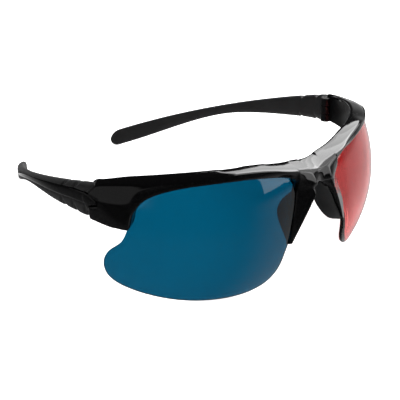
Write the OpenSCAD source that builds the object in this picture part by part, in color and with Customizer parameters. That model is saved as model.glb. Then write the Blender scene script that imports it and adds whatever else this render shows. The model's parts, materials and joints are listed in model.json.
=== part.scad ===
// Wraparound two-colour viewing glasses: a half-rim front, two tinted lenses, nose pads and folding temples.
// The glasses stand on a table on their lenses and temple tips. +X is the wearer's left, +Y runs from
// the lenses back to the ears, +Z is up, and the origin is under the middle of the glasses.

/* [Lenses] */
// Radius of the front face of each lens
lens_radius = 56.4; // [55:0.2:60]
// Distance from the middle of the glasses to the centre of curvature of each lens
lens_offset = 12.5; // [11.5:0.1:13.5]
// Height of the centres of curvature above the table
lens_centre_z = 26; // [24:0.2:28]
// Thickness of a lens
lens_thick = 1.6; // [1.2:0.1:2]
// Height of a lens from its lowest edge to the brow
lens_h = 48; // [46:0.2:50]
// Width of a lens from its square-on middle to the nose
lens_nose_w = 32.9; // [32:0.1:33.6]
// Width of a lens from its square-on middle to the tip of its flared corner
lens_flare_w = 38.3; // [36.5:0.1:39.5]
// Turn of a lens's square-on view away from straight ahead, in degrees
lens_view = 35; // [34:0.2:36]
// Depth that a lens edge reaches into its groove
lens_bite = 1.4; // [0.8:0.1:1.6]
// Gap between a lens and the walls of its groove
groove_gap = 0.05; // [0.02:0.01:0.1]

/* [Front] */
// How far the front stands proud of the lenses
lip = 1.2; // [0.9:0.1:1.6]
// Thickness of the front behind the lenses
back_wall = 2.6; // [2.2:0.1:3.2]
// Height of the brow above the lenses
brow_h = 3; // [2.6:0.1:4]
// How far the brow dips at the nose
bridge_dip = 6.4; // [5.4:0.1:7.2]
// How far the rear edge of the brow rises over its front edge at the nose
bridge_rise = 2.2; // [1:0.1:3]
// Height of the bridge at its middle
bridge_h = 6.6; // [5.8:0.1:7.4]
// How far the brow dips at the hinges
end_dip = 5.5; // [4.5:0.1:6.5]
// Height of an end piece at its hinge
end_h = 13.2; // [12.4:0.1:14]
// How far the crease on an end piece stands proud
crease = 0.7; // [0.3:0.1:1]

/* [Nose] */
// How far the bridge and the nose arms stand forward of the lenses' curve
keel_depth = 2.4; // [1.6:0.1:3]
// Height of the tips of the nose arms above the table
arm_tip_z = 19.5; // [18:0.1:21]
// Distance from the middle to the nose side of an arm's tip
arm_tip_x = 14.4; // [13.6:0.1:14.8]
// Distance from the middle to the nose side of an arm under the bridge
arm_top_x = 4.1; // [3.4:0.1:5]
// Thickness of a nose arm behind its lens
arm_wall = 2.4; // [2.2:0.1:2.8]
// Depth of a nose pad from front to back
pad_depth = 6.8; // [5.6:0.1:8]
// Thickness of a nose pad at its rear
pad_thick = 2.6; // [2:0.1:3.2]
// How far a nose pad swells towards the nose
pad_swell = 3.6; // [2.4:0.1:4.2]
// Height of a nose pad as a share of its arm's height
pad_share = 0.98; // [0.84:0.02:1]
// Outward splay of a nose pad, in degrees
pad_splay = 2; // [0:1:8]

/* [Hinges] */
// Distance from the lens fronts back to the hinge axes
hinge_back = 50; // [48:0.2:52]
// Distance from an end piece's inner face in to its hinge axis
hinge_inset = 0.4; // [0.3:0.1:0.8]
// Radius of the hinge knuckles
knuckle_r = 2.3; // [2.1:0.1:2.6]
// Height of a temple's middle knuckle
knuckle_h = 3.8; // [3:0.1:4.4]
// Height of each of the front's knuckles
front_knuckle_h = 3.4; // [2.8:0.1:3.8]
// Gap between knuckles, and between a temple and the front
hinge_gap = 0.15; // [0.1:0.01:0.2]
// Radius of a hinge screw's shank
screw_r = 0.8; // [0.7:0.05:1]
// Radius of a hinge screw's head
screw_head_r = 1.4; // [1.2:0.05:1.6]
// Height of a hinge screw's head
screw_head_h = 0.9; // [0.7:0.1:1.2]
// Running gap round a screw in a temple's knuckle
pin_gap = 0.04; // [0.02:0.01:0.08]

/* [Temples] */
// Length of a temple from the hinge to its tip
temple_len = 123.5; // [118:0.5:126]
// Inward turn of a temple over its length, in degrees
temple_turn = 38; // [36:0.5:40]
// Height of a temple at the hinge
temple_h = 12.4; // [11.6:0.1:12.8]
// Height of a temple at its waist
waist_h = 4.7; // [4.2:0.1:5.4]
// Height of a temple's paddle over the ear
paddle_h = 8.3; // [7:0.1:9]
// Thickness of a temple at the hinge
temple_thick = 5.2; // [4.8:0.1:5.4]
// Thickness of a temple at its waist
waist_thick = 3.8; // [3.4:0.1:4.2]
// Drop of a temple's upper edge from the hinge to the tip
temple_drop = 38.4; // [36:0.2:40]
// Upward bow of a temple's upper edge between its ends
temple_bow = 1.5; // [0.5:0.1:2.5]
// Length of the rounding at a temple's tip
tip_round = 5; // [4:0.1:6]
// Length of a temple's hard shoulder in front of its grip
shoulder_len = 7.4; // [7:0.1:7.6]
// Reach of the hard stripe along the outside of a temple
stripe_len = 92; // [80:1:100]
// Height of the stripe as a share of the temple's height
stripe_share = 0.4; // [0.3:0.02:0.46]
// Depth that the stripe is set into the grip
stripe_depth = 1.9; // [1.4:0.1:2.1]
// How far the stripe stands proud of the grip
stripe_proud = 0.25; // [0.1:0.05:0.4]
// Gap between the stripe and the grip moulded round it
mould_gap = 0.05; // [0.03:0.01:0.08]
// Length of the tongue that reaches forward over an end piece
tongue_len = 5.5; // [4:0.1:7]
// Height of the tongue at its root
tongue_h = 5; // [4:0.1:5.6]
// Thickness of the tongue
tongue_thick = 1.2; // [1:0.05:1.4]
// Number of ribs moulded into each grip
rib_count = 2; // [1:1:3]
// Spacing of the ribs
rib_pitch = 8.8; // [7:0.1:10]
// Depth of the groove at each rib
rib_depth = 0.7; // [0.4:0.05:0.9]
// Half the length of the groove at each rib
rib_half = 0.9; // [0.6:0.1:1.2]

/* [Hidden] */

// Facets of a full turn on round faces
round_fn = 96;
// Outline steps between two of a lens's guide points
outline_steps = 5;
// Loft steps over half the bridge, an end piece, a nose arm and a nose pad
bridge_steps = 5;
end_steps = 8;
arm_steps = 9;
pad_steps = 8;
// Loft steps along a temple's shoulder, its stripe, its grip and its tip
shoulder_steps = 3;
stripe_steps = 20;
grip_steps = 18;
tip_steps = 6;
// Rounding of the front's edges
edge = 0.7;
// Gap of a screw in the front's knuckles
seat_gap = 0.02;
// Share of the front's run at which the brow is highest, and the run past that before it dips to the hinge
peak_share = 0.44;
dip_run = 5;
// Length over which the brow's dip at the nose is softened
dip_soft = 3;
// Step from a lens's edge to the lower edge of its end piece
fang_step = 1;
// Height of an end piece's crease, as a share, at the lens and at the hinge, and the run that it rises over
crease_low_share = 0.1;
crease_high_share = 0.5;
crease_run = 6;
// Distances from the middle between which the keel fades, the heights between which it grows, and the share
// of it that the rear of the front takes
keel_flat = 10;
keel_run = 28;
keel_foot_z = 12;
keel_top_z = 40;
keel_rear_share = 0.4;
// Curl of the nose side of an arm
arm_curl_power = 1.05;
// Lift of a nose pad over its arm's tip, the share of its depth left at its ends, the skews of its depth to
// its head and of its swell to its foot, and the share of its arm that its root covers
pad_lift = 1;
pad_end_share = 0.25;
pad_skew_power = 1.45;
swell_skew_power = 0.6;
pad_root_share = 0.75;
// Shares of a temple's length at its waist and at its paddle
waist_share = 0.5;
paddle_share = 0.92;
// Least share of a temple's section left at the tip
tip_share = 0.15;
// Share of the stripe's reach at which it starts to taper, and the share of its height left at its end
stripe_fade_share = 0.7;
stripe_end_share = 0.25;
// Slant of the stripe's edges
slope = 0.3;
// Rounding and crown of a grip's section, as shares of its half width
grip_round_share = 0.5;
grip_crown_share = 0.92;
// Half the height of the tongue at its tip
tongue_tip = 0.6;

black = "#121314";
rubber_black = "#1d1d1e";
cyan_tint = "#00587a";
red_tint = "#c84848";
tint_alpha = 0.8;

// Smooth steps, blends and curves
function ease(t) = let (c = min(max(t, 0), 1)) c * c * (3 - 2 * c);
function ramp(x, x0, x1) = ease((x - x0) / (x1 - x0));
function mix(a, b, t) = a + (b - a) * t;
function curve(p, i, t) =
    let (n = len(p), a = p[(i + n - 1) % n], b = p[i], c = p[(i + 1) % n], d = p[(i + 2) % n])
    0.5 * (2 * b + (c - a) * t + (2 * a - 5 * b + 4 * c - d) * t * t + (3 * b - a - 3 * c + d) * t * t * t);
function closed_curve(p, steps) = [for (i = [0:len(p) - 1], k = [0:steps - 1]) curve(p, i, k / steps)];

// Guide points of a lens seen square on, as shares of its widths and height, from its upper nose corner
// over the brow, down the flare, along the bottom and up the nose. The third number is the share of the
// bite that the groove takes there, so the edge is bare below the arms and the end pieces.
lens_guide = [
    [-1, 0.845, 1], [-0.89, 0.935, 1], [-0.48, 0.994, 1], [0, 1, 1], [0.31, 0.97, 1],
    [0.55, 0.9, 1], [0.675, 0.79, 1], [0.73, 0.655, 0.6], [0.82, 0.535, 0], [0.955, 0.41, 0],
    [1, 0.27, 0], [0.94, 0.14, 0], [0.73, 0.067, 0], [0.26, 0.006, 0], [-0.25, 0, 0],
    [-0.59, 0.055, 0], [-0.78, 0.175, 0], [-0.89, 0.375, 0], [-0.95, 0.585, 0.8]
];
guide_n = len(lens_guide);
// The guide's last point on the brow, where an end piece leaves the lens
brow_last = 7;
// The guide's first point beside the nose arm
nose_first = 17;
function guide_point(i) =
    let (g = lens_guide[(i + guide_n) % guide_n])
    [g[0] * (g[0] < 0 ? lens_nose_w : lens_flare_w), g[1] * lens_h];
function outward(i) =
    let (d = guide_point(i + 1) - guide_point(i - 1))
    [-d[1], d[0]] / norm(d);
function lens_outline(bite) = closed_curve(
    [for (i = [0:guide_n - 1]) guide_point(i) + outward(i) * bite * lens_guide[i][2]],
    outline_steps);

// Distance along the front, from the middle of the glasses, of a point of the square-on outline
function level_r(r, z) = sqrt(r * r - pow(z - lens_centre_z, 2));
function arc_length(angle) = angle * lens_radius * PI / 180;
function along(p) = lens_offset + arc_length(lens_view + asin(p[0] / level_r(lens_radius, p[1])));
edge_points = [for (p = lens_outline(0)) [along(p), p[1]]];
brow_edge = [for (i = [0:brow_last * outline_steps]) edge_points[i]];
nose_edge = [
    for (i = [nose_first * outline_steps:len(edge_points) - 1])
        [edge_points[i][1], edge_points[i][0]]
];

// Heights along the front
brow_z = lens_h + brow_h;
fang_a = brow_edge[brow_last * outline_steps][0] + fang_step;
fang_z = brow_edge[brow_last * outline_steps][1] - edge;
end_a = lens_offset + arc_length(acos((lens_radius - hinge_back) / lens_radius));
peak_a = (fang_a + lens_offset) * peak_share;
dip_a = peak_a + dip_run;
function brow_dip(a) =
    bridge_dip * pow(1 - min(1, norm([a, dip_soft]) / peak_a), 2)
    + end_dip * pow(max(0, a - dip_a) / (end_a - dip_a), 2);
function front_top(a) = brow_z - brow_dip(a);
function rear_top(a) = front_top(a) + bridge_rise * pow(1 - min(1, a / peak_a), 2);
end_low = front_top(end_a) - end_h;
bridge_low = front_top(0) - bridge_h;
hinge_z = front_top(end_a) - end_h / 2;
face_r = lens_radius + lip;
rear_r = lens_radius - lens_thick - back_wall;

// Point of the front at a distance along it, on a skin of radius r about the lens's centre. The skin is
// straight across the bridge, stands forward there, and turns upright from an end piece's point to its hinge.
function keel(a, r, z) =
    keel_depth * mix(keel_rear_share, 1, (r - rear_r) / (face_r - rear_r))
    * (1 - ramp(a, keel_flat, keel_run)) * ramp(z, keel_foot_z, keel_top_z);
function skin(a, r, z) =
    let (rho = mix(level_r(r, z), level_r(r, hinge_z), ramp(a, fang_a + 2 * fang_step, end_a)),
         turn = (a - lens_offset) / lens_radius * 180 / PI,
         centre_y = lens_radius - keel(a, r, z))
    a <= lens_offset ? [a, centre_y - rho, z]
                     : [lens_offset + rho * sin(turn), centre_y - rho * cos(turn), z];

// Sizes of the hinge, from the front's upright wall there
function wall_x(r, y) = lens_offset + sqrt(pow(level_r(r, hinge_z), 2) - pow(lens_radius - y, 2));
outer_x = wall_x(face_r, hinge_back);
inner_x = wall_x(rear_r, hinge_back);
hinge_x = inner_x - hinge_inset;
stack_h = knuckle_h + 2 * (front_knuckle_h + hinge_gap);
knuckle_clear = knuckle_r + hinge_gap * 2;
tongue_tilt = atan((outer_x - wall_x(face_r + crease, hinge_back - tongue_len)) / tongue_len);

// Temple centre line, a plain arc in plan, and its heights
temple_x = outer_x - temple_thick / 2;
arc_r = temple_len / temple_turn * 180 / PI;
temple_top = hinge_z + temple_h / 2;
function temple_height(s) =
    let (u = s / temple_len)
    u < waist_share ? mix(temple_h, waist_h, ramp(u, 0, waist_share))
                    : mix(waist_h, paddle_h, ramp(u, waist_share, paddle_share));
function temple_width(s) =
    let (u = s / temple_len)
    u < waist_share ? mix(temple_thick, waist_thick, ramp(u, 0, waist_share))
                    : mix(waist_thick, (temple_thick + waist_thick) / 2, ramp(u, waist_share, paddle_share));
function tip_scale(s) =
    let (t = max(0, s - temple_len + tip_round) / tip_round)
    max(tip_share, sqrt(max(0, 1 - t * t)));
function free_mid(s) =
    let (u = s / temple_len)
    temple_top - temple_drop * u + 4 * temple_bow * u * (1 - u) - temple_height(s) / 2;
tip_s = [for (k = [0:tip_steps]) temple_len - tip_round + tip_round * sin(90 * k / tip_steps)];
settle = min([for (s = tip_s) free_mid(s) - temple_height(s) * tip_scale(s) / 2]);
function temple_mid(s) = free_mid(s) - settle * ramp(s / temple_len, 0, paddle_share);
function temple_point(s, n, z) =
    let (turn = s / arc_r * 180 / PI)
    [temple_x - arc_r + (arc_r + n) * cos(turn), hinge_back + (arc_r + n) * sin(turn), z];

// Grooves of the ribs along a grip, and the stations that its loft passes through
rib_s = [for (k = [1:rib_count]) rib_pitch * k];
rib_end = rib_pitch * (rib_count + 0.5);
function groove(s) = rib_depth * max([for (c = rib_s) max(0, 1 - abs(s - c) / rib_half)]);
grip_s = concat(
    [shoulder_len + mould_gap],
    [for (c = rib_s) each [c - rib_half, c, c + rib_half, c + rib_pitch / 2]],
    [for (k = [1:grip_steps]) mix(rib_end, temple_len - tip_round, k / grip_steps)],
    [for (k = [1:tip_steps]) tip_s[k]]);

// The glasses are centred front to back over the origin
module on_table() {
    arm_rings = [for (k = [0:arm_steps]) arm_ring(mix(arm_tip_z, arm_top_z, k / arm_steps))];
    front_y = min([for (r = arm_rings, p = r) p[1]]);
    back_y = temple_point(temple_len, tip_share * temple_width(temple_len) / 2, 0)[1];
    translate([0, -(front_y + back_y) / 2, 0])
        children();
}
module right_side() {
    mirror([1, 0, 0])
        children();
}

// Triangles that close a ring of n points, fanned from its last two points
function cap(n) =
    let (h = ceil(n / 2) - 2)
    concat(
        [for (i = [0:h]) [n - 1, i, i + 1]],
        [[n - 1, h + 1, n - 2]],
        [for (i = [h + 1:n - 4]) [n - 2, i, i + 1]]);

// Solid through a row of rings with as many points each, which run anticlockwise seen along the row
module loft(rings) {
    n = len(rings[0]);
    m = len(rings);
    polyhedron(
        points = [for (r = rings, p = r) p],
        faces = concat(
            [for (f = cap(n)) [for (i = [2, 1, 0]) f[i]]],
            [for (f = cap(n)) [for (i = f) (m - 1) * n + i]],
            [for (j = [0:m - 2], i = [0:n - 1]) each [
                [j * n + i, j * n + (i + 1) % n, (j + 1) * n + i],
                [j * n + (i + 1) % n, (j + 1) * n + (i + 1) % n, (j + 1) * n + i]
            ]]));
}

// Lens: a piece of a spherical shell, trimmed square on
module lens_shape(bite, gap) {
    intersection() {
        translate([lens_offset, lens_radius, 0])
            rotate([90, 0, lens_view])
                linear_extrude(2 * lens_radius)
                    polygon(lens_outline(bite));
        translate([lens_offset, lens_radius, lens_centre_z])
            difference() {
                sphere(lens_radius + gap, $fn = round_fn);
                sphere(lens_radius - lens_thick - gap, $fn = round_fn);
            }
    }
}

// Brow from the middle of the bridge to a hinge: its lower edge follows the lens, then the end piece
function bridge_point(t) = [t * brow_edge[0][0], mix(bridge_low, brow_edge[0][1], t)];
function end_point(t) = [mix(fang_a, end_a + fang_step, t), mix(fang_z, end_low, t)];
lower_edge = concat(
    [for (k = [0:bridge_steps - 1]) bridge_point(k / bridge_steps)],
    brow_edge,
    [for (k = [0:end_steps]) end_point(k / end_steps)]);
function crease_share(a) =
    let (rise = a < fang_a ? ramp(fang_a - a, 0, crease_run) : ramp(a, fang_a, end_a))
    mix(crease_low_share, crease_high_share, rise);
function crease_proud(a) = crease * ramp(a, fang_a - crease_run, fang_a) * ramp(end_a - a, 0, crease_run);
function brow_ring(a, low, side) =
    let (top = front_top(a), rear = rear_top(a))
    [for (p = [
        skin(a, face_r - lip / 2, low),
        skin(a, face_r, low + edge),
        skin(a, face_r + crease_proud(a), mix(low + edge, top - edge, crease_share(a))),
        skin(a, face_r, top - edge),
        skin(a, face_r - edge, top),
        skin(a, rear_r + edge, rear),
        skin(a, rear_r, rear - edge),
        skin(a, rear_r, low + edge),
        skin(a, rear_r + edge, low)
    ]) [side * p[0], p[1], p[2]]];
module brow() {
    last = len(lower_edge) - 1;
    loft(concat(
        [for (i = [last:-1:1]) brow_ring(lower_edge[i][0], lower_edge[i][1], -1)],
        [for (i = [0:last]) brow_ring(lower_edge[i][0], lower_edge[i][1], 1)]));
}

// Nose arm: a tapering prong down the nose edge of a lens
arm_top_z = brow_edge[0][1] + edge;
arm_front_r = lens_radius + lip * 2 / 3;
arm_back_r = lens_radius - lens_thick - arm_wall;
function arm_nose_a(z) =
    let (u = max(0, (z - arm_tip_z) / (bridge_low - arm_tip_z)))
    mix(arm_tip_x, arm_top_x, pow(u, arm_curl_power));
function arm_lens_a(z) = lookup(z, nose_edge);
function arm_edge(z) = min(edge, (arm_lens_a(z) - arm_nose_a(z)) / 4);
function arm_ring(z) =
    let (n = arm_nose_a(z), l = arm_lens_a(z), b = arm_edge(z))
    [
        skin(n, lens_radius, z),
        skin(n + b, arm_front_r, z),
        skin((n + l) / 2, arm_front_r + lip / 6, z),
        skin(l - b, arm_front_r, z),
        skin(l, lens_radius + lip / 4, z),
        skin(l, arm_back_r, z),
        skin(n + b, arm_back_r, z)
    ];
module nose_arm() {
    loft([for (k = [arm_steps:-1:0]) arm_ring(mix(arm_tip_z, arm_top_z, k / arm_steps))]);
}

// Tongue that points forward from a temple, in side view, grown all round by a gap to cut its recess
module tongue_shape(gap, thick, proud) {
    translate([outer_x, hinge_back, hinge_z])
        rotate([0, 0, -tongue_tilt])
            translate([-thick, 0, 0])
                rotate([90, 0, 90])
                    linear_extrude(thick + proud)
                        polygon([
                            [-tongue_len - gap, tongue_tip + gap],
                            [-tongue_len - gap, -tongue_tip - gap],
                            [0, -tongue_h / 2 - gap],
                            [shoulder_len / 2, -tongue_h / 2 - gap],
                            [shoulder_len / 2, tongue_h / 2 + gap],
                            [0, tongue_h / 2 + gap]
                        ]);
}

// Knuckles on the hinge axis: level is 0 for the temple's, 1 and -1 for the front's
module knuckle(level, r, extra) {
    h = level == 0 ? knuckle_h : front_knuckle_h;
    z = hinge_z + level * (knuckle_h / 2 + hinge_gap + front_knuckle_h / 2);
    translate([hinge_x, hinge_back, z - h / 2 - extra])
        cylinder(h = h + 2 * extra, r = r, $fn = round_fn);
}
module screw_hole(r) {
    translate([hinge_x, hinge_back, hinge_z - stack_h])
        cylinder(h = 2 * stack_h, r = r, $fn = round_fn);
}
module screw_seat() {
    translate([hinge_x, hinge_back, hinge_z + stack_h / 2 - screw_head_h])
        cylinder(h = end_h, r = screw_head_r + seat_gap, $fn = round_fn);
}

// What is cut from one side of the front: behind the hinge plane, round the temple's knuckle, for the tongue
// and down over the screw
module end_cuts() {
    translate([inner_x - knuckle_r * 2, hinge_back - hinge_gap, 0])
        cube([temple_thick + knuckle_r * 4, lens_radius, 2 * lens_h]);
    knuckle(0, knuckle_clear, hinge_gap);
    tongue_shape(hinge_gap * 2, tongue_thick + hinge_gap * 2, lip + crease);
    screw_hole(screw_r + seat_gap);
    screw_seat();
}
module front_knuckles() {
    difference() {
        union() {
            knuckle(1, knuckle_r, 0);
            knuckle(-1, knuckle_r, 0);
        }
        screw_hole(screw_r + seat_gap);
        screw_seat();
    }
}
module front_frame() {
    color(black)
        on_table()
            difference() {
                union() {
                    difference() {
                        union() {
                            brow();
                            nose_arm();
                            right_side() nose_arm();
                        }
                        end_cuts();
                        right_side() end_cuts();
                    }
                    front_knuckles();
                    right_side() front_knuckles();
                }
                lens_shape(lens_bite + groove_gap, groove_gap);
                right_side() lens_shape(lens_bite + groove_gap, groove_gap);
            }
}

// Nose pad: a soft wing on the back of a nose arm, swollen towards the nose. The profile is in shares of its
// depth, of half its thickness and of its swell.
pad_h = pad_share * (bridge_low - arm_tip_z);
pad_profile = [[0.75, 0.8, 0], [1, 0.3, 0], [1, -0.3, 0.5], [0.45, -0.8, 1]];
function pad_ring(t) =
    let (z = arm_tip_z + pad_lift + pad_h * t,
         nose = skin(arm_nose_a(z) + arm_edge(z), arm_back_r - mould_gap, z),
         side = mix(nose, skin(arm_lens_a(z), arm_back_r - mould_gap, z), pad_root_share),
         root = (nose + side) / 2,
         reach = pad_depth * mix(pad_end_share, 1, sin(180 * pow(t, pad_skew_power))),
         half = pad_thick / 2 * mix(0.5, 1, sin(180 * mix(0.1, 0.9, t))),
         swell = pad_swell * sin(180 * pow(t, swell_skew_power)),
         back = [sin(pad_splay), cos(pad_splay), 0],
         wide = [cos(pad_splay), -sin(pad_splay), 0])
    concat([nose, side], [for (p = pad_profile)
        root + back * reach * p[0] + wide * half * p[1] - [swell * p[2], 0, 0]]);
module nose_pad() {
    color(rubber_black)
        loft([for (k = [pad_steps:-1:0]) pad_ring(k / pad_steps)]);
}

// Temple: a hard shoulder with its knuckle and tongue, and a stripe that runs on into the grip
function stripe_taper(s) = ramp(s, stripe_len * stripe_fade_share, stripe_len);
function stripe_half(s) = stripe_share / 2 * temple_height(s) * mix(1, stripe_end_share, stripe_taper(s));
function stripe_sink(s) = stripe_depth * (1 - stripe_taper(s));
function shoulder_ring(s) =
    let (hw = temple_width(s) / 2, hh = temple_height(s) / 2, w = hw - edge, h = hh - edge, z = temple_mid(s))
    [for (p = [[hw, h], [w, hh], [-w, hh], [-hw, h], [-hw, -h], [-w, -hh], [w, -hh], [hw, -h]])
        temple_point(s, p[0], z + p[1])];
function stripe_ring(s) =
    let (hw = temple_width(s) / 2,
         k = stripe_half(s) - mould_gap,
         c = min(slope, k / 2),
         d = max(mould_gap, stripe_sink(s) - mould_gap),
         z = temple_mid(s))
    [for (p = [
        [hw + stripe_proud, k - c], [hw, k], [hw - d, k - c],
        [hw - d, c - k], [hw, -k], [hw + stripe_proud, c - k]
    ]) temple_point(s, p[0], z + p[1])];
module temple() {
    color(black)
        difference() {
            union() {
                difference() {
                    union() {
                        loft([for (k = [0:shoulder_steps])
                            shoulder_ring(mix(hinge_gap, shoulder_len, k / shoulder_steps))]);
                        tongue_shape(0, tongue_thick, stripe_proud);
                    }
                    knuckle(1, knuckle_clear, hinge_gap / 2);
                    knuckle(-1, knuckle_clear, hinge_gap / 2);
                }
                loft([for (k = [0:stripe_steps])
                    stripe_ring(mix(hinge_gap, stripe_len, k / stripe_steps))]);
                knuckle(0, knuckle_r, 0);
            }
            screw_hole(screw_r + pin_gap);
        }
}

// Grip: soft cover round the stripe, ribbed behind the hinge and closed round the tip
function grip_ring(s) =
    let (hw = temple_width(s) / 2 * tip_scale(s),
         hh = temple_height(s) / 2 * tip_scale(s),
         b = min(hw, hh) * grip_round_share,
         k = min(stripe_half(min(s, stripe_len)), hh * stripe_share),
         c = min(slope, k / 2),
         d = s > stripe_len ? 0 : stripe_sink(s),
         o = hw * grip_crown_share - groove(s) / 2,
         t = hh - groove(s),
         z = temple_mid(s))
    [for (p = [
        [hw, k], [o, t - b], [o - b, t], [b - hw, t], [-hw, t - b],
        [-hw, b - t], [b - hw, -t], [o - b, -t], [o, b - t], [hw, -k],
        [hw - d, c - k], [hw - d, k - c]
    ]) temple_point(s, p[0], z + p[1])];
module temple_grip() {
    color(rubber_black)
        loft([for (s = grip_s) grip_ring(s)]);
}

// Hinge screw: a slotted head on a plain shank
module hinge_screw() {
    color("silver")
        translate([hinge_x, hinge_back, hinge_z + stack_h / 2])
            difference() {
                union() {
                    translate([0, 0, -stack_h])
                        cylinder(h = stack_h, r = screw_r, $fn = round_fn);
                    translate([0, 0, -screw_head_h])
                        cylinder(h = screw_head_h, r = screw_head_r, $fn = round_fn);
                }
                translate([-screw_head_r, -screw_r / 4, -screw_head_h / 2])
                    cube([2 * screw_head_r, screw_r / 2, screw_head_h]);
            }
}

module left_lens() {
    color(red_tint, tint_alpha)
        on_table()
            lens_shape(lens_bite, 0);
}
module right_lens() {
    color(cyan_tint, tint_alpha)
        on_table()
            right_side()
                lens_shape(lens_bite, 0);
}
module left_nose_pad() {
    on_table()
        nose_pad();
}
module right_nose_pad() {
    on_table()
        right_side()
            nose_pad();
}
module left_temple() {
    on_table()
        temple();
}
module right_temple() {
    on_table()
        right_side()
            temple();
}
module left_temple_grip() {
    on_table()
        temple_grip();
}
module right_temple_grip() {
    on_table()
        right_side()
            temple_grip();
}
module left_hinge_screw() {
    on_table()
        hinge_screw();
}
module right_hinge_screw() {
    on_table()
        right_side()
            hinge_screw();
}

front_frame();
right_lens();
left_lens();
right_nose_pad();
left_nose_pad();
right_temple();
left_temple();
right_temple_grip();
left_temple_grip();
right_hinge_screw();
left_hinge_screw();
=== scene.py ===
"""Wraparound two-colour viewing glasses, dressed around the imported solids.

Lengths are millimetres and angles are degrees until a mesh is made. The glasses stand on the floor on their
lenses and temple tips, with +X to the wearer's left, +Y back to the ears and +Z up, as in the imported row.
"""

import json
import logging
import math
from collections.abc import Callable, Iterable, Sequence
from dataclasses import dataclass
from enum import Enum
from functools import cached_property
from typing import Any

import bmesh
import bpy
from bmesh.types import BMEdge, BMesh, BMFace, BMVert
from mathutils import Matrix, Vector


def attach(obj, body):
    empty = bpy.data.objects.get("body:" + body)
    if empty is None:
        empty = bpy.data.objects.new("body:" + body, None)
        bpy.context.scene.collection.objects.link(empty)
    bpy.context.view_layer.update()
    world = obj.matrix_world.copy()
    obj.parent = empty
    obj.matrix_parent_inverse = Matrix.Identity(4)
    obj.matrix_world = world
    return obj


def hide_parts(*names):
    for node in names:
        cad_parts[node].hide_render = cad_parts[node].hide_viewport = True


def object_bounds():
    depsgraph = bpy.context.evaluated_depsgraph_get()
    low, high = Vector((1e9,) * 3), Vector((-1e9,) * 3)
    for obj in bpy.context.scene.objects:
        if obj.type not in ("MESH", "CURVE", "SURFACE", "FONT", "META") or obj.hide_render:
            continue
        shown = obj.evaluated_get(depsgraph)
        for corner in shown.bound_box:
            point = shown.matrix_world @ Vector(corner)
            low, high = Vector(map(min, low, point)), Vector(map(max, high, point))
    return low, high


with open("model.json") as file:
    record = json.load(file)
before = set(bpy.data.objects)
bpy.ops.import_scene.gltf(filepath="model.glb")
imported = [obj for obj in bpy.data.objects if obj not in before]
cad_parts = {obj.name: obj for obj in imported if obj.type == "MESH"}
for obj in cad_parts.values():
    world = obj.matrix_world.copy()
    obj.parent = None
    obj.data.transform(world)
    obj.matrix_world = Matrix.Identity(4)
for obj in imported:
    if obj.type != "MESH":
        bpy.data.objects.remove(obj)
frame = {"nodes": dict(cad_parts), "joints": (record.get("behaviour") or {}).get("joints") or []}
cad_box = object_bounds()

# Metres in a millimetre.
MM = 0.001
# Rings that a Wave texture of scale 1 draws in one unit of its vector.
WAVE_TURN = 20 / (2 * math.pi)
# Distance in metres below which two vertices become one.
WELD = 1e-7
# Turn in radians above which an edge is a rim, and the steps that round it.
RIM_TURN = 1.0
RIM_STEPS = 3
# Sides and rim rounding, in millimetres, of a hinge knuckle.
KNUCKLE_SIDES = 64
KNUCKLE_ROUND = 0.2
# Material number of the satin finish on the front and the temple cores.
SATIN_NUMBER = 1
# Refractive index of the plastics, as a round figure.
PLASTIC_IOR = 1.5
log = logging.getLogger("glasses")

# Rings of a sweep's vertices.
Loops = Sequence[Sequence[BMVert]]


class Side(Enum):
    """Which of the wearer's sides a piece is on, as the sign of its X."""

    LEFT = 1
    RIGHT = -1

    @property
    def word(self) -> str:
        """The side's name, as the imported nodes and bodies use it."""
        return self.name.lower()


class Slot(Enum):
    """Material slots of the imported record."""

    FRAME = "frame_plastic"
    RUBBER = "soft_rubber"
    CYAN = "cyan_lens"
    RED = "red_lens"
    STEEL = "screw_steel"


def mix(a: float, b: float, t: float) -> float:
    """Blend from a to b by t."""
    return a + (b - a) * t


def ramp(x: float, x0: float, x1: float) -> float:
    """Smooth step from 0 at x0 to 1 at x1."""
    t = min(max((x - x0) / (x1 - x0), 0.0), 1.0)
    return t * t * (3 - 2 * t)


def spaced(a: float, b: float, count: int) -> list[float]:
    """Evenly spaced values from a to b, both ends included.

    Args:
        a: First value.
        b: Last value.
        count: Number of steps between them.

    Returns:
        count + 1 values.
    """
    return [mix(a, b, k / count) for k in range(count + 1)]


def linear(hex_colour: str) -> tuple[float, float, float, float]:
    """Turn an sRGB hex colour into the linear RGBA that shaders read.

    Args:
        hex_colour: Colour such as "#1d1d1e".

    Returns:
        Linear red, green, blue and an alpha of 1.
    """
    parts = [int(hex_colour[i:i + 2], 16) / 255 for i in (1, 3, 5)]
    lit = [c / 12.92 if c <= 0.04045 else ((c + 0.055) / 1.055) ** 2.4 for c in parts]
    return (*lit, 1.0)


def per_metre(size_mm: float) -> float:
    """Texture scale whose features are about size_mm across on Object coordinates."""
    return 1 / (size_mm * MM)


# Shapes


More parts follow.
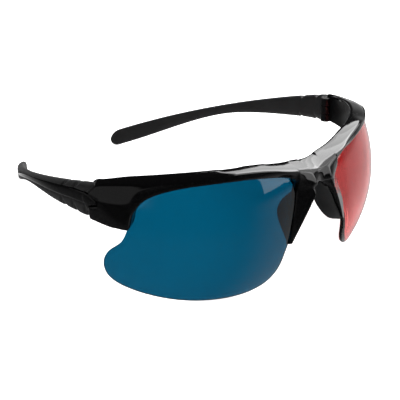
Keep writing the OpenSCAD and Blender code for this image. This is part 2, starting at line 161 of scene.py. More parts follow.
@dataclass(frozen=True)
class LensForm:
    """A lens: a piece of a spherical shell, trimmed square on.

    The guide runs from the upper nose corner over the brow, down the flare, along the bottom and up the nose,
    in shares of the widths and the height. Its third number is the share of the bite that the groove takes.
    """

    radius: float = 56.4
    offset: float = 12.5
    centre_z: float = 26.0
    thick: float = 1.6
    height: float = 48.0
    nose_w: float = 32.9
    flare_w: float = 38.3
    view: float = 35.0
    bite: float = 1.4
    brow_last: int = 7
    nose_first: int = 17
    guide: tuple[tuple[float, float, float], ...] = (
        (-1, 0.845, 1), (-0.89, 0.935, 1), (-0.48, 0.994, 1), (0, 1, 1), (0.31, 0.97, 1),
        (0.55, 0.9, 1), (0.675, 0.79, 1), (0.73, 0.655, 0.6), (0.82, 0.535, 0), (0.955, 0.41, 0),
        (1, 0.27, 0), (0.94, 0.14, 0), (0.73, 0.067, 0), (0.26, 0.006, 0), (-0.25, 0, 0),
        (-0.59, 0.055, 0), (-0.78, 0.175, 0), (-0.89, 0.375, 0), (-0.95, 0.585, 0.8),
    )

    def guide_point(self, i: int) -> Vector:
        """Guide point i, counted round, in the square-on plane."""
        u, v, _ = self.guide[i % len(self.guide)]
        return Vector((u * (self.nose_w if u < 0 else self.flare_w), v * self.height))

    def outline(self, bite: float, steps: int) -> list[Vector]:
        """Smooth closed outline through the guide points.

        Args:
            bite: How far the outline reaches into the groove.
            steps: Points between two guide points.

        Returns:
            Points in the square-on plane, as width and height.
        """
        count = len(self.guide)
        grown = []
        for i, (_, _, share) in enumerate(self.guide):
            run = self.guide_point(i + 1) - self.guide_point(i - 1)
            grown.append(self.guide_point(i) + Vector((-run.y, run.x)).normalized() * bite * share)
        points = []
        for i in range(count):
            a, b, c, d = (grown[(i + k) % count] for k in (-1, 0, 1, 2))
            for t in (k / steps for k in range(steps)):
                points.append(0.5 * (2 * b + (c - a) * t + (2 * a - 5 * b + 4 * c - d) * t ** 2
                                     + (3 * b - a - 3 * c + d) * t ** 3))
        return points

    def level_r(self, r: float, z: float) -> float:
        """Radius at height z of a sphere of radius r about the lens's centre."""
        return math.sqrt(r * r - (z - self.centre_z) ** 2)

    def along(self, point: Vector) -> float:
        """Distance along the front, from the middle of the glasses, of a point of the outline."""
        turn = math.radians(self.view) + math.asin(point.x / self.level_r(self.radius, point.y))
        return self.offset + turn * self.radius

    def on_shell(self, point: Vector, r: float) -> Vector:
        """Point of the outline's plane carried on to a sphere of radius r about the lens's centre.

        Args:
            point: Width and height in the square-on plane.
            r: Radius of the sphere.

        Returns:
            The point in the glasses' millimetres, on the wearer's left.
        """
        out = math.sqrt(r * r - point.x ** 2 - (point.y - self.centre_z) ** 2)
        c, s = math.cos(math.radians(self.view)), math.sin(math.radians(self.view))
        return Vector((self.offset + point.x * c + out * s, self.radius + point.x * s - out * c, point.y))


@dataclass(frozen=True)
class FrontForm:
    """The half-rim front: a brow that follows the lenses, nose arms and end pieces."""

    lens: LensForm = LensForm()
    lip: float = 1.2
    back_wall: float = 2.6
    brow_h: float = 3.0
    bridge_dip: float = 6.4
    bridge_rise: float = 2.4
    bridge_h: float = 6.6
    end_dip: float = 5.5
    end_h: float = 13.2
    crease: float = 0.7
    crease_run: float = 6.0
    crease_start: float = 0.3
    crease_low: float = 0.1
    crease_fade: float = 1.5
    brow_crease: tuple[float, float] = (0.68, 0.6)
    brow_crease_run: float = 34.0
    edge: float = 0.7
    hinge_back: float = 50.0
    peak_share: float = 0.44
    dip_run: float = 5.0
    dip_soft: float = 3.0
    fang_step: float = 1.0
    hinge_gap: float = 0.15
    split_arc: float = 4.4
    outer_rows: tuple[int, ...] = (2, 3, 4, 5)
    end_drop: float = 1.4
    inner_rise: float = 2.2
    end_lean: float = 0.9
    top_lean: float = 1.3
    top_lean_run: tuple[float, float] = (38.5, 49.0)
    knuckle_r: float = 2.3
    knuckle_h: float = 3.8
    front_knuckle_h: float = 3.4
    tongue_len: float = 5.5
    tongue_h: float = 5.0
    tongue_tip: float = 0.6
    tongue_thick: float = 1.2
    arm_tip_z: float = 19.5
    arm_tip_x: float = 14.4
    arm_top_x: float = 4.1
    arm_wall: tuple[float, float] = (-0.6, 2.4)
    arm_wall_run: tuple[float, float] = (0.0, 0.5)
    arm_curl: float = 1.05
    keel_depth: float = 2.4
    keel_rear: float = 0.4
    keel_fade: tuple[float, float] = (10.0, 28.0)
    keel_rise: tuple[float, float] = (12.0, 40.0)
    keel_blend: tuple[float, float] = (0.4, 0.75)
    prow: tuple[tuple[float, float], ...] = ((0.0, 1.4), (4.1, 4.6), (10.4, 0.5), (16.0, 0.0))
    prow_foot: float = 0.5
    prow_curl: float = 1.4
    arm_cover: float = 0.45
    outline_steps: int = 5
    bridge_shares: tuple[float, ...] = (0.0, 0.2, 0.395, 0.47, 0.69, 0.93)
    arm_stations: tuple[int, ...] = (2, 3, 4, 5, 6)
    arm_steps: int = 12

    @property
    def face_r(self) -> float:
        """Radius of the front face about the lens's centre."""
        return self.lens.radius + self.lip

    @property
    def rear_r(self) -> float:
        """Radius of the rear face about the lens's centre."""
        return self.lens.radius - self.lens.thick - self.back_wall

    @cached_property
    def edge_points(self) -> list[tuple[float, float]]:
        """The lens's outline as distances along the front and heights."""
        return [(self.lens.along(p), p.y) for p in self.lens.outline(0, self.outline_steps)]

    @cached_property
    def brow_edge(self) -> list[tuple[float, float]]:
        """The part of the lens's edge that the brow covers, from the nose to the end piece."""
        return self.edge_points[:self.lens.brow_last * self.outline_steps + 1]

    @cached_property
    def fang(self) -> tuple[float, float]:
        """Distance and height of the point of an end piece."""
        a, z = self.brow_edge[-1]
        return a + self.fang_step, z - self.edge

    @cached_property
    def end_a(self) -> float:
        """Distance along the front to the hinge."""
        turn = math.acos((self.lens.radius - self.hinge_back) / self.lens.radius)
        return self.lens.offset + turn * self.lens.radius

    @cached_property
    def peak_a(self) -> float:
        """Distance along the front to the brow's highest point."""
        return (self.fang[0] + self.lens.offset) * self.peak_share

    def nose_share(self, a: float) -> float:
        """Share of the bridge's dip and rise: most at the middle, 0 from the brow's highest point on."""
        return (1 - min(1.0, math.hypot(a, self.dip_soft) / self.peak_a)) ** 2

    def front_top(self, a: float) -> float:
        """Height of the brow's front edge."""
        dip_a = self.peak_a + self.dip_run
        nose = self.bridge_dip * self.nose_share(a)
        ear = self.end_dip * (max(0.0, a - dip_a) / (self.end_a - dip_a)) ** 2
        return self.lens.height + self.brow_h - nose - ear

    def rear_top(self, a: float) -> float:
        """Height of the brow's rear edge."""
        return self.front_top(a) + self.bridge_rise * self.nose_share(a)

    @cached_property
    def bridge_low(self) -> float:
        """Height of the underside of the bridge."""
        return self.front_top(0) - self.bridge_h

    @cached_property
    def hinge_z(self) -> float:
        """Height of the middle of a hinge."""
        return self.front_top(self.end_a) - self.end_h / 2

    def split(self, z: float) -> float:
        """How far the joint between the end piece and the temple leans forward at height z."""
        return self.split_arc * max(0.0, 2 * (z - self.hinge_z) / self.end_h) ** 2

    def keel(self, a: float, r: float, z: float) -> float:
        """How far the skin of radius r stands forward of the lenses' curve near the nose."""
        depth = mix(self.keel_rear, 1, (r - self.rear_r) / (self.face_r - self.rear_r))
        return self.keel_depth * depth * (1 - ramp(a, *self.keel_fade)) * ramp(z, *self.keel_rise)

    def prow_stand(self, a: float) -> float:
        """How far the lower edge stands forward: most at the nose arms' ridges, nothing along the brow."""
        for (a0, stand0), (a1, stand1) in zip(self.prow, self.prow[1:]):
            if a <= a1:
                return mix(stand0, stand1, (a - a0) / (a1 - a0))
        return self.prow[-1][1]

    def skin(self, a: float, r: float, z: float, stand: float | None = None) -> Vector:
        """Point of the front on a skin of radius r about the lens's centre.

        The skin is straight across the bridge, stands forward there, and turns upright from the end piece's
        point to the hinge.

        Args:
            a: Distance along the front from the middle.
            r: Radius of the skin.
            z: Height.
            stand: How far forward it stands, or None for the keel's own stand.

        Returns:
            The point in the glasses' millimetres, on the wearer's left.
        """
        lens = self.lens
        upright = ramp(a, self.fang[0] + 2 * self.fang_step, self.end_a)
        rho = mix(lens.level_r(r, z), lens.level_r(r, self.hinge_z), upright)
        turn = max(0.0, a - lens.offset) / lens.radius
        x = min(a, lens.offset) + rho * math.sin(turn)
        forward = self.keel(a, r, z) if stand is None else stand
        return Vector((x, lens.radius - forward - rho * math.cos(turn), z))

    def wall_x(self, r: float, y: float) -> float:
        """Distance from the middle to the upright wall of radius r beside the hinge."""
        lens = self.lens
        return lens.offset + math.sqrt(lens.level_r(r, self.hinge_z) ** 2 - (lens.radius - y) ** 2)

    def lower_edge(self, stops: Sequence[float]) -> list[tuple[float, float]]:
        """Distances and heights along the underside of the brow, from the middle to the hinge.

        Args:
            stops: Distances along the front, past the end piece's point, to pass through.

        Returns:
            Pairs of distance and height.
        """
        first_a, first_z = self.brow_edge[0]
        fang_a, fang_z = self.fang
        end_low = self.front_top(self.end_a) - self.end_h - self.end_drop
        bridge = [(t * first_a, mix(self.bridge_low, first_z, t)) for t in self.bridge_shares]
        run = self.end_a + self.fang_step - fang_a
        end = [(a, mix(fang_z, end_low, (a - fang_a) / run)) for a in stops]
        return bridge + self.brow_edge + [self.fang] + end

    @property
    def recess_a(self) -> float:
        """Distance along the front to the point of the recess for the temple's tongue."""
        return self.end_a - self.tongue_len - 2 * self.hinge_gap

    def creases(self, a: float, low: float) -> list[tuple[float, float]]:
        """Heights of the two creases on the outside of the front, and how far they stand proud.

        They part at the tip of the tongue's recess. One runs down to the end piece's point and one along the
        brow. Behind the tip they follow the edges of the recess.

        Args:
            a: Distance along the front from the middle.
            low: Height of the underside there.

        Returns:
            Height and stand of the lower crease and of the upper one.
        """
        foot, rise = low + self.edge, self.front_top(a) - low - 2 * self.edge
        fang_a, tip_a = self.fang[0], self.recess_a
        on_tongue = max(0.0, a - tip_a) / self.tongue_len
        half = mix(self.tongue_tip, self.tongue_h / 2, on_tongue) + 2 * self.hinge_gap
        low_share, high_share = self.crease_low, self.brow_crease[0]
        low_run = ramp(a, fang_a - self.crease_run, fang_a)
        high_run = ramp(a, fang_a - self.brow_crease_run, fang_a)
        if a < fang_a:
            lower = foot + rise * mix(self.crease_start, low_share, low_run)
            upper = foot + rise * mix(self.brow_crease[1], high_share, high_run)
        else:
            t = min(1.0, (a - fang_a) / (tip_a - fang_a))
            lower = mix(foot + rise * low_share, self.hinge_z - half, t)
            upper = mix(foot + rise * high_share, self.hinge_z + half, t)
        end = ramp(self.end_a - a, 0, self.crease_fade)
        return [(lower, self.crease * low_run * end), (upper, self.crease * high_run * end)]

    def brow_ring(self, a: float, low: float) -> list[Vector]:
        """Section of the brow, from its lower front edge over the top and down its rear.

        Args:
            a: Distance along the front from the middle.
            low: Height of the underside there.

        Returns:
            Twelve points on the wearer's left, none behind the hinge plane.
        """
        top, rear, edge = self.front_top(a), self.rear_top(a), self.edge
        face, back = self.face_r, self.rear_r
        (low_crease, low_stand), (high_crease, high_stand) = self.creases(a, low)
        notch = self.knuckle_h / 2 + self.hinge_gap
        square = ramp(a, self.fang[0], self.end_a - 2 * self.knuckle_r)
        inner = [mix(mix(low + edge, rear - edge, share), self.hinge_z + sign * notch, square)
                 for share, sign in ((2 / 3, 1), (1 / 3, -1))]
        prow = self.prow_stand(a)
        near_end = ramp(a, self.fang[0] - 4 * self.fang_step, self.end_a)
        lean, inner_low = self.end_lean * near_end, low + self.inner_rise * near_end
        tilt = self.top_lean * ramp(a, *self.top_lean_run)
        low_fore, high_fore = (mix(prow, self.keel(a, face, z), share)
                               for z, share in zip((low_crease, high_crease), self.keel_blend))
        points = [
            self.skin(a, face - self.lip / 2, low, prow),
            self.skin(a, face, low + edge, prow),
            self.skin(a, face + low_stand, low_crease, low_fore),
            self.skin(a, face + high_stand, high_crease, high_fore),
            self.skin(a, face - lean, top - edge - tilt),
            self.skin(a, face - edge - lean, top - tilt),
            self.skin(a, back + edge, rear),
            self.skin(a, back, rear - edge),
            self.skin(a, back, inner[0]),
            self.skin(a, back, inner[1]),
            self.skin(a, back, inner_low + edge),
            self.skin(a, back + edge, inner_low),
        ]
        for i, point in enumerate(points):
            arc = self.split(point.z) if i in self.outer_rows else 0.0
            point.y = min(point.y, self.hinge_back - self.hinge_gap - arc)
        return points

    def arm_nose_a(self, z: float) -> float:
        """Distance along the front to the nose side of an arm."""
        u = max(0.0, (z - self.arm_tip_z) / (self.bridge_low - self.arm_tip_z))
        return mix(self.arm_tip_x, self.arm_top_x, u ** self.arm_curl)

    def arm_lens_a(self, z: float) -> float:
        """Distance along the front to the lens side of an arm."""
        points = self.edge_points[self.lens.nose_first * self.outline_steps:]
        for (a0, z0), (a1, z1) in zip(points, points[1:]):
            if z0 <= z <= z1:
                return mix(a0, a1, (z - z0) / (z1 - z0))
        return points[-1][0] if z > points[-1][1] else points[0][0]

    def arm_edge(self, z: float) -> float:
        """Rounding of a nose arm's edges."""
        return min(self.edge, (self.arm_lens_a(z) - self.arm_nose_a(z)) / 4)

    def arm_share(self, z: float) -> float:
        """Share of a nose arm's height at height z, from 0 at its tip to 1 under the bridge."""
        return min(max((z - self.arm_tip_z) / (self.bridge_low - self.arm_tip_z), 0.0), 1.0)

    def arm_back_r(self, z: float) -> float:
        """Radius of the back of the nose arms about the lens's centre."""
        wall = mix(*self.arm_wall, ramp(self.arm_share(z), *self.arm_wall_run))
        return self.lens.radius - self.lens.thick - wall

    def ridge_stand(self, z: float) -> float:
        """How far the ridge on the nose side of an arm stands forward at height z."""
        return mix(self.prow_foot, self.prow[1][1], self.arm_share(z) ** self.prow_curl)

    def arm_ring(self, z: float) -> list[Vector]:
        """Section of a nose arm at height z: its front from the nose to the lens, then its back likewise."""
        n, l, b = self.arm_nose_a(z), self.arm_lens_a(z), self.arm_edge(z)
        ridge = self.ridge_stand(z)
        across = (n, n + b, (n + l) / 2, l - b / 2, l)
        front_r, back_r = self.lens.radius + self.arm_cover, self.arm_back_r(z)
        front = [self.skin(a, front_r, z, ridge * (l - a) / (l - n)) for a in across]
        return front + [self.skin(max(a, n + b / 2), back_r, z) for a in across]


@dataclass(frozen=True)
class TempleForm:
    """A temple: an arc in plan that drops to a paddle, with a hard stripe inside a soft grip."""

    front: FrontForm = FrontForm()
    length: float = 123.5
    turn: float = 38.0
    hinge_h: float = 12.4
    waist_h: float = 4.7
    paddle_h: float = 8.3
    thick: float = 5.2
    waist_thick: float = 3.8
    paddle_thick: float = 3.3
    drop: float = 38.4
    bow: float = 1.5
    waist_share: float = 0.5
    paddle_share: float = 0.92
    tip_round: float = 5.0
    tip_share: float = 0.15
    shoulder_len: float = 7.4
    stripe_len: float = 92.0
    stripe_share: float = 0.4
    stripe_depth: float = 1.9
    stripe_proud: float = 0.25
    stripe_fade: float = 0.7
    stripe_end: float = 0.25
    stripe_lift: float = 0.14
    stripe_settle: tuple[float, float, float, float] = (-6.0, 14.0, 30.0, 85.0)
    sleeve: float = 1.5
    foot_run: tuple[float, float] = (16.0, 50.0)
    slope: float = 0.3
    mould_gap: float = 0.05
    ribs: tuple[float, ...] = (3.4, 11.3, 19.7)
    rib_slants: tuple[float, float] = (4.0, 3.0)
    rib_depth: float = 1.3
    rib_half: float = 0.9
    grip_round: float = 0.5
    grip_crown: float = 0.92
    settle: float = -0.148

    @property
    def arc_r(self) -> float:
        """Radius of the temple's centre line in plan."""
        return self.length / math.radians(self.turn)

    @property
    def outer_x(self) -> float:
        """Distance from the middle to the outside of the hinge."""
        return self.front.wall_x(self.front.face_r, self.front.hinge_back)

    def height(self, s: float) -> float:
        """Height of the temple at a distance from the hinge."""
        u = s / self.length
        if u < self.waist_share:
            return mix(self.hinge_h, self.waist_h, ramp(u, 0, self.waist_share))
        return mix(self.waist_h, self.paddle_h, ramp(u, self.waist_share, self.paddle_share))

    def width(self, s: float) -> float:
        """Thickness of the temple at a distance from the hinge."""
        u = s / self.length
        if u < self.waist_share:
            return mix(self.thick, self.waist_thick, ramp(u, 0, self.waist_share))
        return mix(self.waist_thick, self.paddle_thick, ramp(u, self.waist_share, self.paddle_share))

    def tip_scale(self, s: float) -> float:
        """Share of the section that the rounding of the tip leaves."""
        t = max(0.0, s - self.length + self.tip_round) / self.tip_round
        return max(self.tip_share, math.sqrt(max(0.0, 1 - t * t)))

    def mid(self, s: float) -> float:
        """Height of the temple's middle."""
        u = s / self.length
        top = self.front.hinge_z + self.hinge_h / 2
        free = top - self.drop * u + 4 * self.bow * u * (1 - u) - self.height(s) / 2
        return free - self.settle * ramp(u, 0, self.paddle_share)

    def point(self, s: float, n: float, z: float) -> Vector:
        """Point at a distance from the hinge's split and a distance n outside the centre line.

        Args:
            s: Distance along the temple.
            n: Distance outside the centre line.
            z: Height.

        Returns:
            The point in the glasses' millimetres, on the wearer's left.
        """
        if n > 0:
            s -= self.front.split(z) * (1 - ramp(s, 0, self.shoulder_len))
        if s < 0:
            n += self.front.wall_x(self.front.face_r, self.front.hinge_back + s) - self.outer_x
        turn = s / self.arc_r
        r = self.arc_r + n
        middle_x = self.outer_x - self.thick / 2 - self.arc_r
        return Vector((middle_x + r * math.cos(turn), self.front.hinge_back + r * math.sin(turn), z))

    def groove(self, s: float, rise: float) -> float:
        """Depth of the rib grooves, which slant forward away from the stripe.

        Args:
            s: Distance from the hinge.
            rise: Height about the temple's middle, as a share of half its height.

        Returns:
            Depth in millimetres.
        """
        slant = self.rib_slants[0] if rise > 0 else self.rib_slants[1]
        shift = slant * max(0.0, abs(rise) - self.stripe_share) / (1 - self.stripe_share)
        near = min(abs(s - rib + shift) for rib in self.ribs)
        return self.rib_depth * (1 - ramp(near, 0, self.rib_half))

    def stripe_taper(self, s: float) -> float:
        """How far the stripe has tapered at a distance from the hinge, from 0 to 1."""
        return ramp(s, self.stripe_len * self.stripe_fade, self.stripe_len)

    def stripe_half(self, s: float) -> float:
        """Half the height of the stripe."""
        return self.stripe_share / 2 * self.height(s) * mix(1, self.stripe_end, self.stripe_taper(s))

    def lift(self, s: float) -> float:
        """How far the middle of the stripe is above the temple's middle."""
        rise, full, fall, level = self.stripe_settle
        return self.stripe_lift * self.height(s) * ramp(s, rise, full) * (1 - ramp(s, fall, level))

    def foot(self, s: float, n: float) -> float:
        """How far the underside reaches down near the hinge: more outside the centre line, less inside it."""
        outer, inner = self.foot_run
        if n > 0:
            return self.front.end_drop * (1 - ramp(s, 0, outer))
        return -self.front.inner_rise * (1 - ramp(s, 0, inner))

    def section(self, s: float, profile: Iterable[tuple[float, float]]) -> list[Vector]:
        """Profile of widths and heights about the temple's middle, set in place at a distance along it."""
        z = self.mid(s)
        return [self.point(s, n, z + h) for n, h in profile]

    def shoulder_ring(self, s: float) -> list[Vector]:
        """Section of the hard shoulder inside the grip."""
        hw, hh, b = self.width(s) / 2 - self.sleeve, self.height(s) / 2 - self.sleeve, self.front.edge
        up = [(hw, hh - b), (hw - b, hh), (b - hw, hh), (-hw, hh - b)]
        return self.section(s, up + [(n, -h) for n, h in up[::-1]])

    def stripe_ring(self, s: float) -> list[Vector]:
        """Section of the hard stripe."""
        hw = self.width(s) / 2
        k = self.stripe_half(s) - self.mould_gap
        c = min(self.slope, k / 2)
        d = max(self.mould_gap, self.stripe_depth * (1 - self.stripe_taper(s)) - self.mould_gap)
        out, lift = hw + self.stripe_proud, self.lift(s)
        profile = [(out, k - c), (hw, k), (hw - d, k - c), (hw - d, c - k), (hw, -k), (out, c - k)]
        return self.section(s, [(n, h + lift) for n, h in profile])

    def grip_ring(self, s: float) -> list[Vector]:
        """Section of the soft grip, open on the outside for the stripe and notched by the ribs."""
        scale = self.tip_scale(s)
        hw, hh = self.width(s) / 2 * scale, self.height(s) / 2 * scale
        b = min(hw, hh) * self.grip_round
        k = min(self.stripe_half(min(s, self.stripe_len)), hh * self.stripe_share)
        c = min(self.slope, k / 2)
        d = 0.0 if s > self.stripe_len else self.stripe_depth * (1 - self.stripe_taper(s))
        o, lift = hw * self.grip_crown, min(self.lift(s), hh - b - k)
        profile = []
        for side in (1, -1):
            edge = k + side * lift
            row = [(hw, edge), (mix(hw, o, 0.5), mix(edge, hh - b, 0.5)), (o, hh - b), (o - b, hh),
                   (b - hw, hh), (-hw, hh - b)]
            for n, h in row[::side]:
                g = self.groove(s, side * h / hh)
                out = n - g if n > 0 and h > edge else n
                deep = self.foot(s, n) if side < 0 and h > hh - 2 * b else 0.0
                profile.append((out, side * (deep + (h - g if h > hh - b / 2 else h))))
        return self.section(s, profile + [(hw - d, c - k + lift), (hw - d, k - c + lift)])

    def tongue_outline(self) -> list[tuple[float, float]]:
        """Side view of the tongue: distances behind the hinge and heights about it."""
        front = self.front
        root, tip = front.tongue_h / 2, front.tongue_tip
        reach, back = front.tongue_len, self.shoulder_len / 2
        return [(-reach, tip), (-reach, -tip), (0, -root), (back, -root), (back, root), (0, root)]


# The left hinge in the row's millimetres, and how far back the row sets the forms.
HINGE = Vector(next(j for j in frame["joints"] if j["name"] == "left_fold")["pos_m"]) / MM
ROW_SHIFT = HINGE.y - FrontForm().hinge_back


# Mesh tools


def in_row(points: Iterable[Vector], side: Side) -> list[Vector]:
    """Carry points from the glasses' millimetres on the wearer's left into the row's metres.

    Args:
        points: Points on the wearer's left.
        side: Side to put them on.

    Returns:
        The points in the row frame.
    """
    return [Vector((side.value * p.x, p.y + ROW_SHIFT, p.z)) * MM for p in points]


def set_on(loop: Iterable[BMVert], grown: Iterable[Any], ring: Iterable[Vector]) -> list[BMVert]:
    """Set the extruded copies of a loop's vertices on a ring.

    Args:
        loop: Vertices that were extruded.
        grown: New geometry of the extrusion.
        ring: Place of each copy.

    Returns:
        The copies, in the loop's order.
    """
    fresh = {v for v in grown if isinstance(v, BMVert)}
    copies = [next(e.other_vert(v) for e in v.link_edges if e.other_vert(v) in fresh) for v in loop]
    for vert, place in zip(copies, ring):
        vert.co = place
    return copies


def sweep(bm: BMesh, rings: Sequence[Sequence[Vector]], closed: bool = True) -> list[list[BMVert]]:
    """Extrude a closed loop of edges from ring to ring.

    Args:
        bm: Mesh to add to.
        rings: Sections with as many points each, in the row frame.
        closed: Whether to close both ends.

    Returns:
        The vertices of each ring.
    """
    loops = [[bm.verts.new(p) for p in rings[0]]]
    edges = [bm.edges.new(pair) for pair in zip(loops[0], loops[0][1:] + loops[0][:1])]
    for ring in rings[1:]:
        grown = bmesh.ops.extrude_edge_only(bm, edges=edges)["geom"]
        loops.append(set_on(loops[-1], grown, ring))
        fresh = set(loops[-1])
        edges = [e for e in grown if isinstance(e, BMEdge) and set(e.verts) <= fresh]
    if closed:
        ends = set(loops[0]), set(loops[-1])
        open_edges = [e for end in ends for v in end for e in v.link_edges if set(e.verts) <= end]
        bmesh.ops.holes_fill(bm, edges=list(set(open_edges)))
    return loops


def faces_between(loops: Loops, row: int, other: int) -> list[BMFace]:
    """Faces of a sweep between two neighbouring rows.

    Args:
        loops: Neighbouring rings of the sweep.
        row: Index of one row in each ring.
        other: Index of the row beside it.

    Returns:
        One face for each step from ring to ring.
    """
    corners = [{a[row], a[other], b[row], b[other]} for a, b in zip(loops, loops[1:])]
    return [next(f for f in loop[row].link_faces if set(f.verts) == four)
            for loop, four in zip(loops, corners)]


def add_knuckle(bm: BMesh, centre: Vector, radius: float, height: float) -> None:
    """Add a bevelled upright cylinder in the satin finish, solid where the real one has a bore.

    Args:
        bm: Mesh to add to.
        centre: Middle of the cylinder in the row frame.
        radius: Radius in millimetres.
        height: Height in millimetres.
    """
    before = set(bm.faces)
    made = bmesh.ops.create_cone(bm, cap_ends=True, segments=KNUCKLE_SIDES, radius1=radius * MM,
                                 radius2=radius * MM, depth=height * MM, matrix=Matrix.Translation(centre))
    rims = {e for v in made["verts"] for e in v.link_edges if e.calc_face_angle(0) > RIM_TURN}
    bmesh.ops.bevel(bm, geom=list(rims), offset=KNUCKLE_ROUND * MM, segments=RIM_STEPS, profile=0.5,
                    affect="EDGES", material=-1)
    for face in set(bm.faces) - before:
        face.material_index = SATIN_NUMBER


def new_piece(name: str, bm: BMesh, finishes: Sequence["Finish"], body: str, node: str,
              levels: int) -> bpy.types.Object:
    """Make an object from a mesh, dress it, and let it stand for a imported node.

    Args:
        name: Name of the piece.
        bm: Its mesh in the row frame, freed here.
        finishes: Its finishes, in the order of its faces' material numbers.
        body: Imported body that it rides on.
        node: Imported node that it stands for.
        levels: Subdivision levels, 0 for none.

    Returns:
        The new object.
    """
    bmesh.ops.remove_doubles(bm, verts=bm.verts, dist=WELD)
    bmesh.ops.recalc_face_normals(bm, faces=bm.faces)
    for face in bm.faces:
        face.smooth = True
    mesh = bpy.data.meshes.new(name)
    bm.to_mesh(mesh)
    bm.free()
    piece = bpy.data.objects.new(name, mesh)
    bpy.context.scene.collection.objects.link(piece)
    for finish in finishes:
        mesh.materials.append(finish.material())
    if levels:
        smooth = piece.modifiers.new("smooth", "SUBSURF")
        smooth.levels = smooth.render_levels = levels
    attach(piece, body)
    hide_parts(node)
    log.info("%s: %d faces, for %s on %s", name, len(mesh.polygons), node, body)
    return piece


# Finishes


def add_node(tree: bpy.types.NodeTree, kind: str, inputs: dict[str | int, Any] | None = None,
             **settings: Any) -> bpy.types.Node:
    """Add a node with its settings, values and links.

    Args:
        tree: Node tree to add to.
        kind: Node type name.
        inputs: Input names to values, or to the sockets that feed them.
        **settings: Node properties.

    Returns:
        The new node.
    """
    node = tree.nodes.new(kind)
    for name, value in settings.items():
        setattr(node, name, value)
    for name, value in (inputs or {}).items():
        if isinstance(value, bpy.types.NodeSocket):
            tree.links.new(value, node.inputs[name])
        else:
            node.inputs[name].default_value = value
    return node


def shared_material(name: str, surface: Callable[[bpy.types.NodeTree], dict[str, Any]]) -> bpy.types.Material:
    """Material of a name, made on first use.

    Args:
        name: Name of the material.
        surface: Draws the patterns in an empty node tree and gives the shader's inputs.

    Returns:
        The material, shared by every piece that asks for it.
    """
    found = bpy.data.materials.get(name)
    if found is None:
        found = bpy.data.materials.new(name)
        found.use_nodes = True
        tree = found.node_tree
        tree.nodes.clear()
        shader = add_node(tree, "ShaderNodeBsdfPrincipled", surface(tree))
        add_node(tree, "ShaderNodeOutputMaterial", {"Surface": shader.outputs["BSDF"]})
    return found


def worn_edges(tree: bpy.types.NodeTree, span: tuple[float, float], grain: bpy.types.NodeSocket,
               marks: bpy.types.NodeSocket) -> bpy.types.NodeSocket:
    """Wear from 0 to 1: the marks, and more along the edges where the grain is high.

    Args:
        tree: Node tree of the material.
        span: Pointiness at which an edge starts to be worn, and at which it is fully worn.
        grain: Socket that breaks up the wear of the edges.
        marks: Socket with the wear elsewhere.

    Returns:
        Socket with the wear.
    """
    bend = add_node(tree, "ShaderNodeNewGeometry").outputs["Pointiness"]
    edge = add_node(tree, "ShaderNodeMapRange", {"Value": bend, "From Min": span[0], "From Max": span[1]})
    return add_node(tree, "ShaderNodeMath", {0: edge.outputs["Result"], 1: grain, 2: marks},
                    operation="MULTIPLY_ADD", use_clamp=True).outputs[0]


def blended(tree: bpy.types.NodeTree, colours: tuple[str, str], roughness: tuple[float, float],
            tone: bpy.types.NodeSocket, dull: bpy.types.NodeSocket) -> dict[str, Any]:
    """Shader inputs that run from one colour and roughness to another.

    Args:
        tree: Node tree of the material.
        colours: First and second colour.
        roughness: First and second roughness.
        tone: Socket that runs the colour from 0 to 1.
        dull: Socket that runs the roughness from 0 to 1.

    Returns:
        Base colour and roughness.
    """
    mixed = add_node(tree, "ShaderNodeMix",
                     {"Factor": tone, "A": linear(colours[0]), "B": linear(colours[1])}, data_type="RGBA")
    spread = add_node(tree, "ShaderNodeMapRange",
                      {"Value": dull, "To Min": roughness[0], "To Max": roughness[1]})
    return {"Base Color": mixed.outputs["Result"], "Roughness": spread.outputs["Result"]}


@dataclass(frozen=True)
class Finish:
    """A material that is made once and shared."""

    name: str
    slot: Slot

    def material(self) -> bpy.types.Material:
        """The finish's material, made on first use."""
        return shared_material(self.name, self.surface)

    def surface(self, tree: bpy.types.NodeTree) -> dict[str, Any]:
        """Draw the finish's patterns and give the shader's inputs."""
        raise NotImplementedError


@dataclass(frozen=True)
class MouldedPlastic(Finish):
    """Moulded polycarbonate: deep black with a slow ripple and fine rub marks, as glossy as its mould."""

    colour: str = "#050506"
    rub_colour: str = "#0d0d0e"
    ripple_mm: float = 7.0
    ripple_depth_mm: float = 0.4
    ripple_strength: float = 0.03
    rub_mm: float = 1.1
    rub_span: tuple[float, float] = (0.35, 0.75)
    edge_span: tuple[float, float] = (0.53, 0.62)
    roughness: tuple[float, float] = (0.05, 0.12)

    def surface(self, tree: bpy.types.NodeTree) -> dict[str, Any]:
        """Black base, paler and duller along worn edges and rub marks, over a faint ripple."""
        place = add_node(tree, "ShaderNodeTexCoord").outputs["Object"]
        ripple = add_node(tree, "ShaderNodeTexNoise", {"Vector": place, "Scale": per_metre(self.ripple_mm)})
        rub = add_node(tree, "ShaderNodeTexNoise",
                       {"Vector": place, "Scale": per_metre(self.rub_mm), "Detail": 5.0, "Roughness": 0.6})
        marks = add_node(tree, "ShaderNodeMapRange",
                         {"Value": rub.outputs["Fac"], "From Min": self.rub_span[0],
                          "From Max": self.rub_span[1]})
        worn = worn_edges(tree, self.edge_span, rub.outputs["Fac"], marks.outputs["Result"])
        bump = add_node(tree, "ShaderNodeBump",
                        {"Height": ripple.outputs["Fac"], "Strength": self.ripple_strength,
                         "Distance": self.ripple_depth_mm * MM})
        return {**blended(tree, (self.colour, self.rub_colour), self.roughness, worn, worn),
                "IOR": PLASTIC_IOR, "Normal": bump.outputs["Normal"]}


